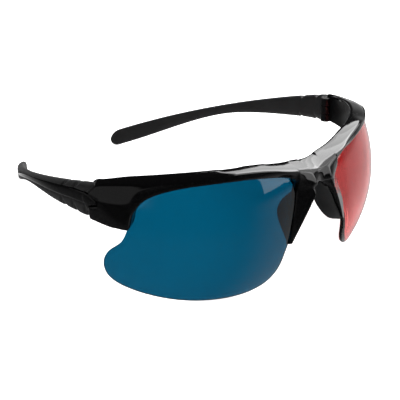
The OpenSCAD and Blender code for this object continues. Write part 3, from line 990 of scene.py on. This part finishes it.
@dataclass(frozen=True)
class SoftRubber(Finish):
    """Thermoplastic rubber moulded in a spark-eroded tool: matte black with a fine grain and a soft sheen.

    The real grain is about 0.1 mm across, too fine to show in the render, so it is drawn coarser.
    """

    colour: str = "#161617"
    worn_colour: str = "#222223"
    grain_mm: float = 0.6
    grain_depth_mm: float = 0.05
    grain_strength: float = 0.25
    wear_mm: float = 9.0
    edge_span: tuple[float, float] = (0.52, 0.6)
    roughness: tuple[float, float] = (0.68, 0.5)
    sheen: float = 0.05

    def surface(self, tree: bpy.types.NodeTree) -> dict[str, Any]:
        """Near-black base that varies slowly and shines on worn edges, under a bumped grain."""
        place = add_node(tree, "ShaderNodeTexCoord").outputs["Object"]
        wear = add_node(tree, "ShaderNodeTexNoise",
                        {"Vector": place, "Scale": per_metre(self.wear_mm), "Detail": 3.0})
        grain = add_node(tree, "ShaderNodeTexNoise",
                         {"Vector": place, "Scale": per_metre(self.grain_mm), "Detail": 2.0})
        worn = worn_edges(tree, self.edge_span, grain.outputs["Fac"], wear.outputs["Fac"])
        bump = add_node(tree, "ShaderNodeBump",
                        {"Height": grain.outputs["Fac"], "Strength": self.grain_strength,
                         "Distance": self.grain_depth_mm * MM})
        return {**blended(tree, (self.colour, self.worn_colour), self.roughness, worn, worn),
                "IOR": PLASTIC_IOR, "Sheen Weight": self.sheen, "Normal": bump.outputs["Normal"]}


@dataclass(frozen=True)
class TintedLens(Finish):
    """Dyed polycarbonate sheet, hard coated: clear gloss over a strong tint with faint wipe marks, and
    painted light and shade that runs the tint from its nose colour to its outer colour.
    """

    colour: str
    # The tint at the nose, with painted light and shade that sets it apart from the outer colour.
    nose_painted_colour: str
    shade_drift_mm: tuple[float, float] = (14.0, 52.0)
    shade_cloud_mm: float = 30.0
    shade_sway_mm: float = 8.0
    wipe_mm: float = 4.0
    roughness: tuple[float, float] = (0.01, 0.05)

    def surface(self, tree: bpy.types.NodeTree) -> dict[str, Any]:
        """Clear tinted body whose colour drifts from the nose outward as painted light and shade, and a
        roughness from wipe marks.
        """
        place = add_node(tree, "ShaderNodeTexCoord").outputs["Object"]
        axes = add_node(tree, "ShaderNodeSeparateXYZ", {"Vector": place})
        out = add_node(tree, "ShaderNodeMath", {0: axes.outputs["X"]}, operation="ABSOLUTE")
        cloud = add_node(tree, "ShaderNodeTexNoise", {"Vector": place, "Scale": per_metre(self.shade_cloud_mm)})
        cloudy = add_node(tree, "ShaderNodeMath",
                          {0: cloud.outputs["Fac"], 1: self.shade_sway_mm * MM, 2: out.outputs[0]},
                          operation="MULTIPLY_ADD")
        # Painted light and shade: the colour runs from the nose colour to the outer colour with distance from
        # the middle, clouded by noise.
        painted_light_drift = add_node(tree, "ShaderNodeMapRange",
                       {"Value": cloudy.outputs[0], "From Min": self.shade_drift_mm[0] * MM,
                        "From Max": self.shade_drift_mm[1] * MM})
        wipe = add_node(tree, "ShaderNodeTexNoise",
                        {"Vector": place, "Scale": per_metre(self.wipe_mm), "Detail": 4.0})
        return {**blended(tree, (self.nose_painted_colour, self.colour), self.roughness, painted_light_drift.outputs["Result"],
                          wipe.outputs["Fac"]), "IOR": PLASTIC_IOR, "Transmission Weight": 1.0}


@dataclass(frozen=True)
class TurnedSteel(Finish):
    """Stainless steel turned on a lathe: grey metal with fine rings that spread its highlights.

    The rings are finer than the render shows at the photograph's distance, where the screws are hidden.
    """

    colour: str = "#6a6968"
    dark_colour: str = "#4c4b4a"
    ring_mm: float = 0.12
    roughness: tuple[float, float] = (0.22, 0.4)

    def surface(self, tree: bpy.types.NodeTree) -> dict[str, Any]:
        """Grey metal whose tone and roughness follow rings about the screw's axis."""
        place = add_node(tree, "ShaderNodeTexCoord").outputs["Object"]
        across = add_node(tree, "ShaderNodeVectorMath", {0: place}, operation="ABSOLUTE").outputs["Vector"]
        axis = add_node(tree, "ShaderNodeVectorMath", {0: across, 1: [abs(c) * MM for c in HINGE]},
                        operation="SUBTRACT").outputs["Vector"]
        marks = add_node(tree, "ShaderNodeTexWave",
                         {"Vector": axis, "Scale": per_metre(self.ring_mm) / WAVE_TURN, "Distortion": 1.5,
                          "Detail": 3.0}, wave_type="RINGS", rings_direction="Z").outputs["Fac"]
        return {**blended(tree, (self.colour, self.dark_colour), self.roughness, marks, marks),
                "Metallic": 1.0}


# Polished moulding mirrors the lights sharply and shows its edges as thin bright lines.
GLOSS_BLACK = MouldedPlastic("polycarbonate_polish_moulded_black", Slot.FRAME)
# The unpolished inside of the same mould spreads a highlight into a soft grey.
SATIN_BLACK = MouldedPlastic("polycarbonate_satin_moulded_black", Slot.FRAME, roughness=(0.38, 0.5))
# Spark-eroded moulding scatters light: flat and charcoal beside the gloss, shinier where it is rubbed.
SOFT_BLACK = SoftRubber("thermoplastic_rubber_grain_moulded_black", Slot.RUBBER)
# Dye colours what is seen through the lens, and the hard coat adds a clear white reflection. The cyan is
# painted darker towards the nose: painted shade.
CYAN_TINT = TintedLens("polycarbonate_dyed_hard_coated_cyan", Slot.CYAN, "#00415a", "#00364d")
# The red tint is painted paler towards the nose, a painted light, under the same hard coat.
RED_TINT = TintedLens("polycarbonate_dyed_hard_coated_red", Slot.RED, "#7c3636", "#ee706e")
# Turning leaves fine rings that draw a highlight out across them.
STEEL = TurnedSteel("stainless_steel_turned", Slot.STEEL)


# Pieces


@dataclass(frozen=True)
class Lens:
    """One tinted lens."""

    side: Side
    finish: TintedLens
    form: LensForm = LensForm()
    outline_steps: int = 8
    rounds: int = 11
    rim_round: float = 0.4
    hub: tuple[float, float] = (0.0, 0.46)

    def build(self) -> BMesh:
        """Draw the outline in towards its hub on the sphere, and thicken it towards the sphere's centre."""
        form = self.form
        rim = form.outline(form.bite, self.outline_steps)
        hub = Vector((self.hub[0], self.hub[1] * form.height))
        bm = bmesh.new()
        rings = [in_row([form.on_shell(hub + (p - hub) * share, form.radius) for p in rim], self.side)
                 for share in spaced(1, 0, self.rounds)]
        middle = sweep(bm, rings, closed=False)[-1]
        bmesh.ops.pointmerge(bm, verts=middle, merge_co=rings[-1][0])
        centre = in_row([Vector((form.offset, form.radius, form.centre_z))], self.side)[0]
        back = bmesh.ops.extrude_face_region(bm, geom=bm.faces[:])["geom"]
        inner = [v for v in back if isinstance(v, BMVert)]
        share = (form.radius - form.thick) / form.radius
        bmesh.ops.scale(bm, vec=(share,) * 3, verts=inner, space=Matrix.Translation(-centre))
        bmesh.ops.recalc_face_normals(bm, faces=bm.faces)
        rims = [e for e in bm.edges if e.calc_face_angle(0) > RIM_TURN]
        bmesh.ops.bevel(bm, geom=rims, offset=self.rim_round * MM, segments=RIM_STEPS, profile=0.5,
                        affect="EDGES", material=-1, clamp_overlap=True)
        return bm

    def dress(self) -> bpy.types.Object:
        """Make the lens in its tint."""
        name = f"{self.side.word}_lens"
        return new_piece(f"{name}_shell", self.build(), [self.finish], "front", name, levels=0)


@dataclass(frozen=True)
class Front:
    """The glossy front: a brow drawn out into nose arms, with recesses and knuckles for the temples."""

    form: FrontForm = FrontForm()
    end_stops: tuple[float, ...] = (1.6, 4.1, 6.6, 9.1, 10.8)
    tip_step: float = 0.3
    arm_start: float = 38.3
    notch_depth: float = 2.2
    notch_share: float = 0.6
    crease_rows: tuple[int, int] = (2, 3)
    notch_rows: tuple[int, int] = (8, 9)
    inside_rows: tuple[int, ...] = (7, 8, 9)
    arch: float = 4.5
    saddle_rings: int = 5
    saddle_rounds: int = 3
    saddle_factor: float = 0.5
    sharp: float = 0.8
    sharp_angle: float = 60.0

    def stations(self) -> list[tuple[float, float]]:
        """Distances and heights of the underside at the brow's sections, from the middle to a hinge."""
        form = self.form
        last = form.end_a - form.hinge_gap
        notch = form.end_a - form.knuckle_r - 2 * form.hinge_gap
        stops = [form.fang[0] + step for step in self.end_stops] + [form.recess_a]
        stops += [mix(form.recess_a, notch, 0.5), notch]
        stops += [mix(notch, last, self.notch_share), last - self.tip_step, last]
        return form.lower_edge(stops)

    def build(self) -> BMesh:
        """Sweep the brow from hinge to hinge, draw out its arms, sink its recesses and add its knuckles."""
        form = self.form
        bm = bmesh.new()
        half = self.stations()
        left = [in_row(form.brow_ring(a, low), Side.LEFT) for a, low in half]
        right = [in_row(form.brow_ring(a, low), Side.RIGHT) for a, low in half[:0:-1]]
        loops = sweep(bm, right + left, closed=False)
        middle = len(right)
        for row in self.inside_rows:
            for face in faces_between(loops, row, row + 1):
                face.material_index = SATIN_NUMBER
        recess = form.recess_a, self.crease_rows, -form.tongue_thick - 2 * form.hinge_gap
        notch = form.end_a - form.knuckle_r - 3 * form.hinge_gap, self.notch_rows, self.notch_depth
        soft = []
        for side in Side:
            outward = loops[middle::side.value]
            self.draw_arm(bm, [outward[i] for i in form.arm_stations], side)
            soft += [v for ring in outward[:self.saddle_rings] for v in ring[:2]]
            for begin, rows, depth in (recess, notch):
                strip = [ring for ring, (a, _) in zip(outward, half) if a >= begin]
                self.sink(bm, strip, rows, depth, side)
        bmesh.ops.holes_fill(bm, edges=[e for e in bm.edges if e.is_boundary])
        for _ in range(self.saddle_rounds):
            bmesh.ops.smooth_vert(bm, verts=list(set(soft)), factor=self.saddle_factor, use_axis_x=True,
                                  use_axis_y=True, use_axis_z=True)
        bmesh.ops.recalc_face_normals(bm, faces=bm.faces)
        self.sharpen(bm, loops, half)
        rise = form.knuckle_h / 2 + form.hinge_gap + form.front_knuckle_h / 2
        for side in Side:
            for level in (-1, 1):
                centre = Vector((side.value * HINGE.x, HINGE.y, HINGE.z + level * rise)) * MM
                add_knuckle(bm, centre, form.knuckle_r, form.front_knuckle_h)
        return bm

    def draw_arm(self, bm: BMesh, loops: Loops, side: Side) -> None:
        """Draw the underside of the brow out into a nose arm.

        Args:
            bm: Mesh of the front.
            loops: Sections of the brow that the arm grows from, from the nose to the lens.
            side: Side of the arm.
        """
        form = self.form
        faces = faces_between(loops, 0, -1)
        loop = [ring[0] for ring in loops] + [ring[-1] for ring in loops]
        heights = spaced(self.arm_start, form.arm_tip_z, form.arm_steps)
        heights.insert(-1, form.arm_tip_z + self.tip_step)
        for z in heights:
            grown = bmesh.ops.extrude_face_region(bm, geom=faces)["geom"]
            loop = set_on(loop, grown, in_row(form.arm_ring(z), side))
            bmesh.ops.delete(bm, geom=faces, context="FACES")
            faces = [f for f in grown if isinstance(f, BMFace)]

    def sink(self, bm: BMesh, loops: Loops, rows: tuple[int, int],
             depth: float, side: Side) -> None:
        """Push a strip of a side wall outward or inward, open towards the temple.

        Args:
            bm: Mesh of the front.
            loops: Sections that the strip runs through, the last one at the hinge.
            rows: The two rows of the strip.
            depth: How far it moves outward, in millimetres.
            side: Side of the wall.
        """
        end = {loops[-1][row] for row in rows}
        faces = faces_between(loops, *rows)
        grown = bmesh.ops.extrude_face_region(bm, geom=faces)["geom"]
        bmesh.ops.delete(bm, geom=faces, context="FACES")
        verts = [v for v in grown if isinstance(v, BMVert)]
        bmesh.ops.translate(bm, vec=(side.value * depth * MM, 0, 0), verts=verts)
        wall = [f for v in end for f in v.link_faces if end <= set(f.verts)]
        bmesh.ops.delete(bm, geom=list(set(wall)), context="FACES")

    def sharpen(self, bm: BMesh, loops: Loops,
                half: Sequence[tuple[float, float]]) -> None:
        """Keep the sharp corners and the end pieces' creases crisp when the mesh is subdivided.

        Args:
            bm: Mesh of the front.
            loops: Sections of the brow.
            half: Distance and height of each section from the middle to a hinge.
        """
        layer = bm.edges.layers.float.new("crease_edge")
        for edge in bm.edges:
            in_arch = max(abs(v.co.x) for v in edge.verts) < self.arch * MM
            if edge.calc_face_angle(0) > math.radians(self.sharp_angle) and not in_arch:
                edge[layer] = self.sharp
        form, middle = self.form, len(half) - 1
        for i, (a, _) in enumerate(half[:-1]):
            for sign in (-1, 1):
                here, there = loops[middle + sign * i], loops[middle + sign * (i + 1)]
                for row, run in zip(self.crease_rows, (form.crease_run, form.brow_crease_run)):
                    edge = bm.edges.get((here[row], there[row]))
                    edge[layer] = max(edge[layer], self.sharp * ramp(a, form.fang[0] - run, form.fang[0]))
                if i >= form.arm_stations[-1] and a < form.fang[0]:
                    bm.edges.get((here[0], there[0]))[layer] = 1.0
        for sign in (-1, 1):
            ring = loops[middle + sign * form.arm_stations[0]]
            for low, high in zip(ring[:3], ring[1:4]):
                bm.edges.get((low, high))[layer] = self.sharp

    def dress(self) -> bpy.types.Object:
        """Make the front in gloss black, with a satin inside."""
        return new_piece("front_moulding", self.build(), [GLOSS_BLACK, SATIN_BLACK], "front", "front_frame",
                         levels=2)


@dataclass(frozen=True)
class NosePad:
    """One soft pad behind a nose arm, swollen towards the nose.

    The profile is in shares of the pad's depth, of half its thickness and of its swell.
    """

    side: Side
    form: FrontForm = FrontForm()
    depth: float = 7.2
    thick: float = 2.6
    swell: float = 6.6
    share: float = 0.98
    lift: float = -1.0
    splay: float = 2.0
    end_share: float = 0.15
    depth_skew: float = 1.3
    swell_skew: float = 0.55
    root_share: float = 0.75
    thin_share: float = 0.5
    thin_span: tuple[float, float] = (0.1, 0.9)
    gap: float = 0.05
    wrap: float = 0.3
    wrap_share: float = 0.85
    wrap_fade: float = 6.0
    steps: int = 12
    profile: tuple[tuple[float, float, float], ...] = (
        (0.4, 0.9, 0.0), (0.75, 0.8, 0.0), (1.0, 0.3, 0.0), (1.0, -0.3, 0.5), (0.75, -0.6, 0.8),
        (0.45, -0.8, 1.0), (0.15, -0.9, 0.6),
    )

    def ring(self, t: float) -> list[Vector]:
        """Section of the pad at a share of its height."""
        form = self.form
        z = form.arm_tip_z + self.lift + self.share * (form.bridge_low - form.arm_tip_z) * t
        back_r = form.arm_back_r(z) - self.gap
        nose = form.skin(form.arm_nose_a(z) + form.arm_edge(z), back_r, z)
        side = nose.lerp(form.skin(form.arm_lens_a(z), back_r, z), self.root_share)
        root = (nose + side) / 2
        reach = self.depth * mix(self.end_share, 1, math.sin(math.pi * t ** self.depth_skew))
        half = self.thick / 2 * mix(self.thin_share, 1, math.sin(math.pi * mix(*self.thin_span, t)))
        swell = self.swell * math.sin(math.pi * t ** self.swell_skew)
        c, s = math.cos(math.radians(self.splay)), math.sin(math.radians(self.splay))
        back, wide, nose_ward = Vector((s, c, 0)), Vector((c, -s, 0)), Vector((-swell, 0, 0))
        wing = [root + back * reach * p + wide * half * q + nose_ward * w for p, q, w in self.profile]
        fade = 1 - t ** self.wrap_fade
        stand = self.wrap_share * form.ridge_stand(z) * fade
        lip = form.skin(form.arm_nose_a(z) - self.wrap * fade, form.lens.radius, z, stand)
        return [nose, side] + wing + [lip]

    def build(self) -> BMesh:
        """Sweep the pad from its top to its foot."""
        bm = bmesh.new()
        sweep(bm, [in_row(self.ring(t), self.side) for t in spaced(1, 0, self.steps)])
        return bm

    def dress(self) -> bpy.types.Object:
        """Make the pad in soft rubber."""
        name = f"{self.side.word}_nose_pad"
        return new_piece(f"{name}_wing", self.build(), [SOFT_BLACK], "front", name, levels=2)


@dataclass(frozen=True)
class Temple:
    """One folding temple: its hard core and its soft grip."""

    side: Side
    form: TempleForm = TempleForm()
    shoulder_step: float = 0.5
    stripe_steps: int = 30
    grip_step: float = 3.5
    rib_step: float = 0.45
    tip_steps: int = 8
    tongue_bevel: tuple[float, float] = (0.25, 0.4)

    def build_core(self) -> BMesh:
        """Sweep the shoulder and the stripe, and add the tongue and the knuckle."""
        form = self.form
        bm = bmesh.new()
        start = form.front.hinge_gap
        shoulder = spaced(start, form.shoulder_len, round((form.shoulder_len - start) / self.shoulder_step))
        sweep(bm, [in_row(form.shoulder_ring(s), self.side) for s in shoulder])
        stripe = spaced(start, form.stripe_len, self.stripe_steps)
        sweep(bm, [in_row(form.stripe_ring(s), self.side) for s in stripe])
        self.add_tongue(bm)
        centre = Vector((self.side.value * HINGE.x, HINGE.y, HINGE.z)) * MM
        add_knuckle(bm, centre, form.front.knuckle_r, form.front.knuckle_h)
        return bm

    def add_tongue(self, bm: BMesh) -> None:
        """Add the tongue that points forward over the end piece, as a bevelled plate.

        Args:
            bm: Mesh to add to.
        """
        form, front = self.form, self.form.front
        far_x = front.wall_x(front.face_r + front.crease, front.hinge_back - front.tongue_len)
        tilt = math.atan((form.outer_x - far_x) / front.tongue_len)
        bevel, bevel_depth = self.tongue_bevel
        plates = []
        for depth in (form.stripe_proud, form.stripe_proud - bevel_depth, -front.tongue_thick):
            inset = 0.0 if depth < form.stripe_proud else bevel
            narrow = 1 - inset / front.tongue_h * 2
            plate = []
            for y, z in form.tongue_outline():
                y = y + inset if y < 0 else y
                plate.append(Vector((form.outer_x + depth * math.cos(tilt) + y * math.sin(tilt),
                                     front.hinge_back + y * math.cos(tilt) - depth * math.sin(tilt),
                                     front.hinge_z + z * narrow)))
            plates.append(in_row(plate, self.side))
        sweep(bm, plates)

    def build_grip(self) -> BMesh:
        """Sweep the grip over its ribs, along to the paddle and round the tip."""
        form = self.form
        start = form.front.hinge_gap + form.mould_gap
        rib_end = form.ribs[-1] + 2 * form.rib_half
        tip = form.length - form.tip_round
        ribs = spaced(start, rib_end, round((rib_end - start) / self.rib_step))
        run = spaced(rib_end, tip, round((tip - rib_end) / self.grip_step))
        end = [tip + form.tip_round * math.sin(math.pi / 2 * k / self.tip_steps)
               for k in range(1, self.tip_steps + 1)]
        bm = bmesh.new()
        sweep(bm, [in_row(form.grip_ring(s), self.side) for s in ribs + run[1:] + end])
        return bm

    def dress(self) -> list[bpy.types.Object]:
        """Make the core in gloss black with a satin knuckle, and the grip in soft rubber."""
        node, body = f"{self.side.word}_temple", f"{self.side.word}_arm"
        core = new_piece(f"{node}_core", self.build_core(), [GLOSS_BLACK, SATIN_BLACK], body, node, levels=1)
        cover = new_piece(f"{node}_cover", self.build_grip(), [SOFT_BLACK], body, f"{node}_grip", levels=1)
        return [core, cover]


@dataclass(frozen=True)
class HingeScrew:
    """One hinge screw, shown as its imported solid."""

    side: Side

    def dress(self) -> bpy.types.Object:
        """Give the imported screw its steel."""
        node = frame["nodes"][f"{self.side.word}_hinge_screw"]
        node.data.materials.clear()
        node.data.materials.append(STEEL.material())
        log.info("%s: packed solid", node.name)
        return node


# Studio


@dataclass(frozen=True)
class Softbox:
    """A rectangular studio light that faces the nose of the glasses. Lengths are metres."""

    name: str
    place: tuple[float, float, float]
    width: float
    height: float
    radiance: float
    roll: float = 0.0
    aim: tuple[float, float, float] = (0.0, -0.08, 0.045)

    def hang(self) -> bpy.types.Object:
        """Make the light, unseen by the camera."""
        data = bpy.data.lights.new(self.name, "AREA")
        data.shape = "RECTANGLE"
        data.size, data.size_y = self.width, self.height
        data.energy = self.radiance * math.pi * self.width * self.height
        light = bpy.data.objects.new(self.name, data)
        bpy.context.scene.collection.objects.link(light)
        light.location = self.place
        away = Vector(self.place) - Vector(self.aim)
        turned = away.to_track_quat("Z", "Y").to_matrix() @ Matrix.Rotation(math.radians(self.roll), 3, "Z")
        light.rotation_euler = turned.to_euler()
        light.visible_camera = False
        return light


@dataclass(frozen=True)
class Glow:
    """A dim part of the room that the gloss reflects.

    Each span names an axis of the direction, where the glow starts along it and where it is full.
    """

    level: float
    spans: tuple[tuple[str, float, float], ...]

    def shade(self, tree: bpy.types.NodeTree, axes: bpy.types.Node) -> bpy.types.NodeSocket:
        """Multiply the spans' smooth steps.

        Args:
            tree: Node tree of the room.
            axes: Node that gives the direction's X, Y and Z.

        Returns:
            Socket with the glow's level.
        """
        level: Any = self.level
        for axis, start, full in self.spans:
            step = add_node(tree, "ShaderNodeMapRange",
                            {"Value": axes.outputs[axis], "From Min": start, "From Max": full, "To Max": 1.0},
                            interpolation_type="SMOOTHSTEP")
            level = add_node(tree, "ShaderNodeMath", {0: step.outputs["Result"], 1: level},
                             operation="MULTIPLY").outputs[0]
        return level


@dataclass(frozen=True)
class Studio:
    """The pale floor and screen, the dim room, the soft lights and the camera at the photograph's angle."""

    floor_size: float = 6.0
    floor_colour: str = "#f4f4f3"
    floor_light: float = 1.05
    screen_sides: int = 48
    room_level: float = 0.03
    azimuth: float = -41.52
    elevation: float = 25.74
    roll: float = -1.76
    focal_px: float = 907.4
    image_px: float = 400.0
    sensor_mm: float = 36.0
    clip_mm: float = 10.0
    camera_mm: tuple[float, float, float] = (-232.99, -278.28, 179.30)
    lights: tuple[Softbox, ...] = (
        Softbox("key", (0.4069, 0.1086, 0.4367), 0.43, 0.345, 3.9, -45.0),
        Softbox("key_half", (0.4101, 0.0618, 0.4672), 0.3, 0.345, 1.6, -45.0),
        Softbox("key_core", (0.3909, 0.0197, 0.5183), 0.19, 0.31, 3.0, -45.0),
        Softbox("top_card", (0.325, -0.21, 0.59), 0.45, 0.4, 2.5),
        Softbox("front_card", (0.31, -0.55, 0.215), 0.42, 0.3, 2.0),
        Softbox("side_card", (0.4626, -0.229, 0.35), 0.56, 0.3, 2.0),
    )
    glows: tuple[Glow, ...] = (
        Glow(0.34, (("X", -0.3, -0.6), ("Y", -0.4, -0.1), ("Z", -0.03, 0.06))),
        Glow(0.6, (("X", -0.05, 0.65), ("Z", 0.0, -0.1))),
        Glow(0.4, (("X", 0.78, 0.86), ("Z", 0.4, 0.0))),
        Glow(1.3, (("Y", 0.6, 0.95), ("X", -0.3, 0.8), ("Z", 0.05, -0.25))),
        Glow(0.06, (("Z", -0.15, -0.5),)),
    )

    def opal(self) -> bpy.types.Material:
        """Opal acrylic lit from behind, so nothing casts a shadow on it."""
        glow = {"Base Color": linear(self.floor_colour), "Roughness": 0.9, "Specular IOR Level": 0.0,
                "Emission Color": linear("#ffffff"), "Emission Strength": self.floor_light}
        return shared_material("acrylic_opal_cast", lambda _: glow)

    def stand(self, name: str, bm: BMesh, lights_the_part: bool) -> None:
        """Stand a piece of the stage at the foot of the glasses. Mirror rays pass it by.

        Args:
            name: Name of the piece.
            bm: Its mesh, freed here.
            lights_the_part: Whether its glow falls on the glasses.
        """
        mesh = bpy.data.meshes.new(name)
        bm.to_mesh(mesh)
        bm.free()
        mesh.materials.append(self.opal())
        piece = bpy.data.objects.new(name, mesh)
        piece.location.z = cad_box[0].z
        piece.visible_glossy = False
        piece.visible_diffuse = lights_the_part
        bpy.context.scene.collection.objects.link(piece)

    def add_floor(self) -> None:
        """Lay the floor, a light table, and put a pale screen round it."""
        bm = bmesh.new()
        bmesh.ops.create_grid(bm, x_segments=1, y_segments=1, size=self.floor_size / 2)
        self.stand("floor", bm, True)
        bm = bmesh.new()
        bmesh.ops.create_cone(bm, segments=self.screen_sides, radius1=self.floor_size / 2,
                              radius2=self.floor_size / 2, depth=self.floor_size)
        self.stand("screen", bm, False)

    def add_light(self) -> None:
        """Paint the dim room with its glows, and hang the softboxes."""
        world = bpy.data.worlds.new("room")
        world.use_nodes = True
        tree = world.node_tree
        tree.nodes.clear()
        direction = add_node(tree, "ShaderNodeTexCoord").outputs["Generated"]
        axes = add_node(tree, "ShaderNodeSeparateXYZ", {"Vector": direction})
        level: Any = self.room_level
        for glow in self.glows:
            level = add_node(tree, "ShaderNodeMath", {0: glow.shade(tree, axes), 1: level},
                             operation="ADD").outputs[0]
        room = add_node(tree, "ShaderNodeBackground", {"Strength": level})
        add_node(tree, "ShaderNodeOutputWorld", {"Surface": room.outputs["Background"]})
        bpy.context.scene.world = world
        for light in self.lights:
            light.hang()

    def add_camera(self) -> None:
        """Stand the camera where the photograph was taken from."""
        a, e, r = (math.radians(x) for x in (self.azimuth, self.elevation, self.roll))
        back = Vector((math.sin(a) * math.cos(e), -math.cos(a) * math.cos(e), math.sin(e)))
        level = Vector((math.cos(a), math.sin(a), 0))
        rise = back.cross(level)
        right = level * math.cos(r) + rise * math.sin(r)
        up = rise * math.cos(r) - level * math.sin(r)
        data = bpy.data.cameras.new("photo")
        data.sensor_width = self.sensor_mm
        data.lens = self.focal_px / self.image_px * self.sensor_mm
        data.clip_start = self.clip_mm * MM
        camera = bpy.data.objects.new("photo", data)
        turned = Matrix((right, up, back)).transposed().to_4x4()
        camera.matrix_world = Matrix.Translation(Vector(self.camera_mm) * MM) @ turned
        bpy.context.scene.collection.objects.link(camera)
        bpy.context.scene.camera = camera

    def set_up(self) -> None:
        """Set the whole studio up."""
        self.add_floor()
        self.add_light()
        self.add_camera()
        bpy.context.scene.view_settings.view_transform = "Standard"


def main() -> None:
    """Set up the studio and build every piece."""
    logging.basicConfig(level=logging.INFO, format="%(name)s: %(message)s")
    Studio().set_up()
    Front().dress()
    Lens(Side.RIGHT, CYAN_TINT).dress()
    Lens(Side.LEFT, RED_TINT).dress()
    for side in Side:
        NosePad(side).dress()
        Temple(side).dress()
        HingeScrew(side).dress()


if __name__ == "__main__":
    main()
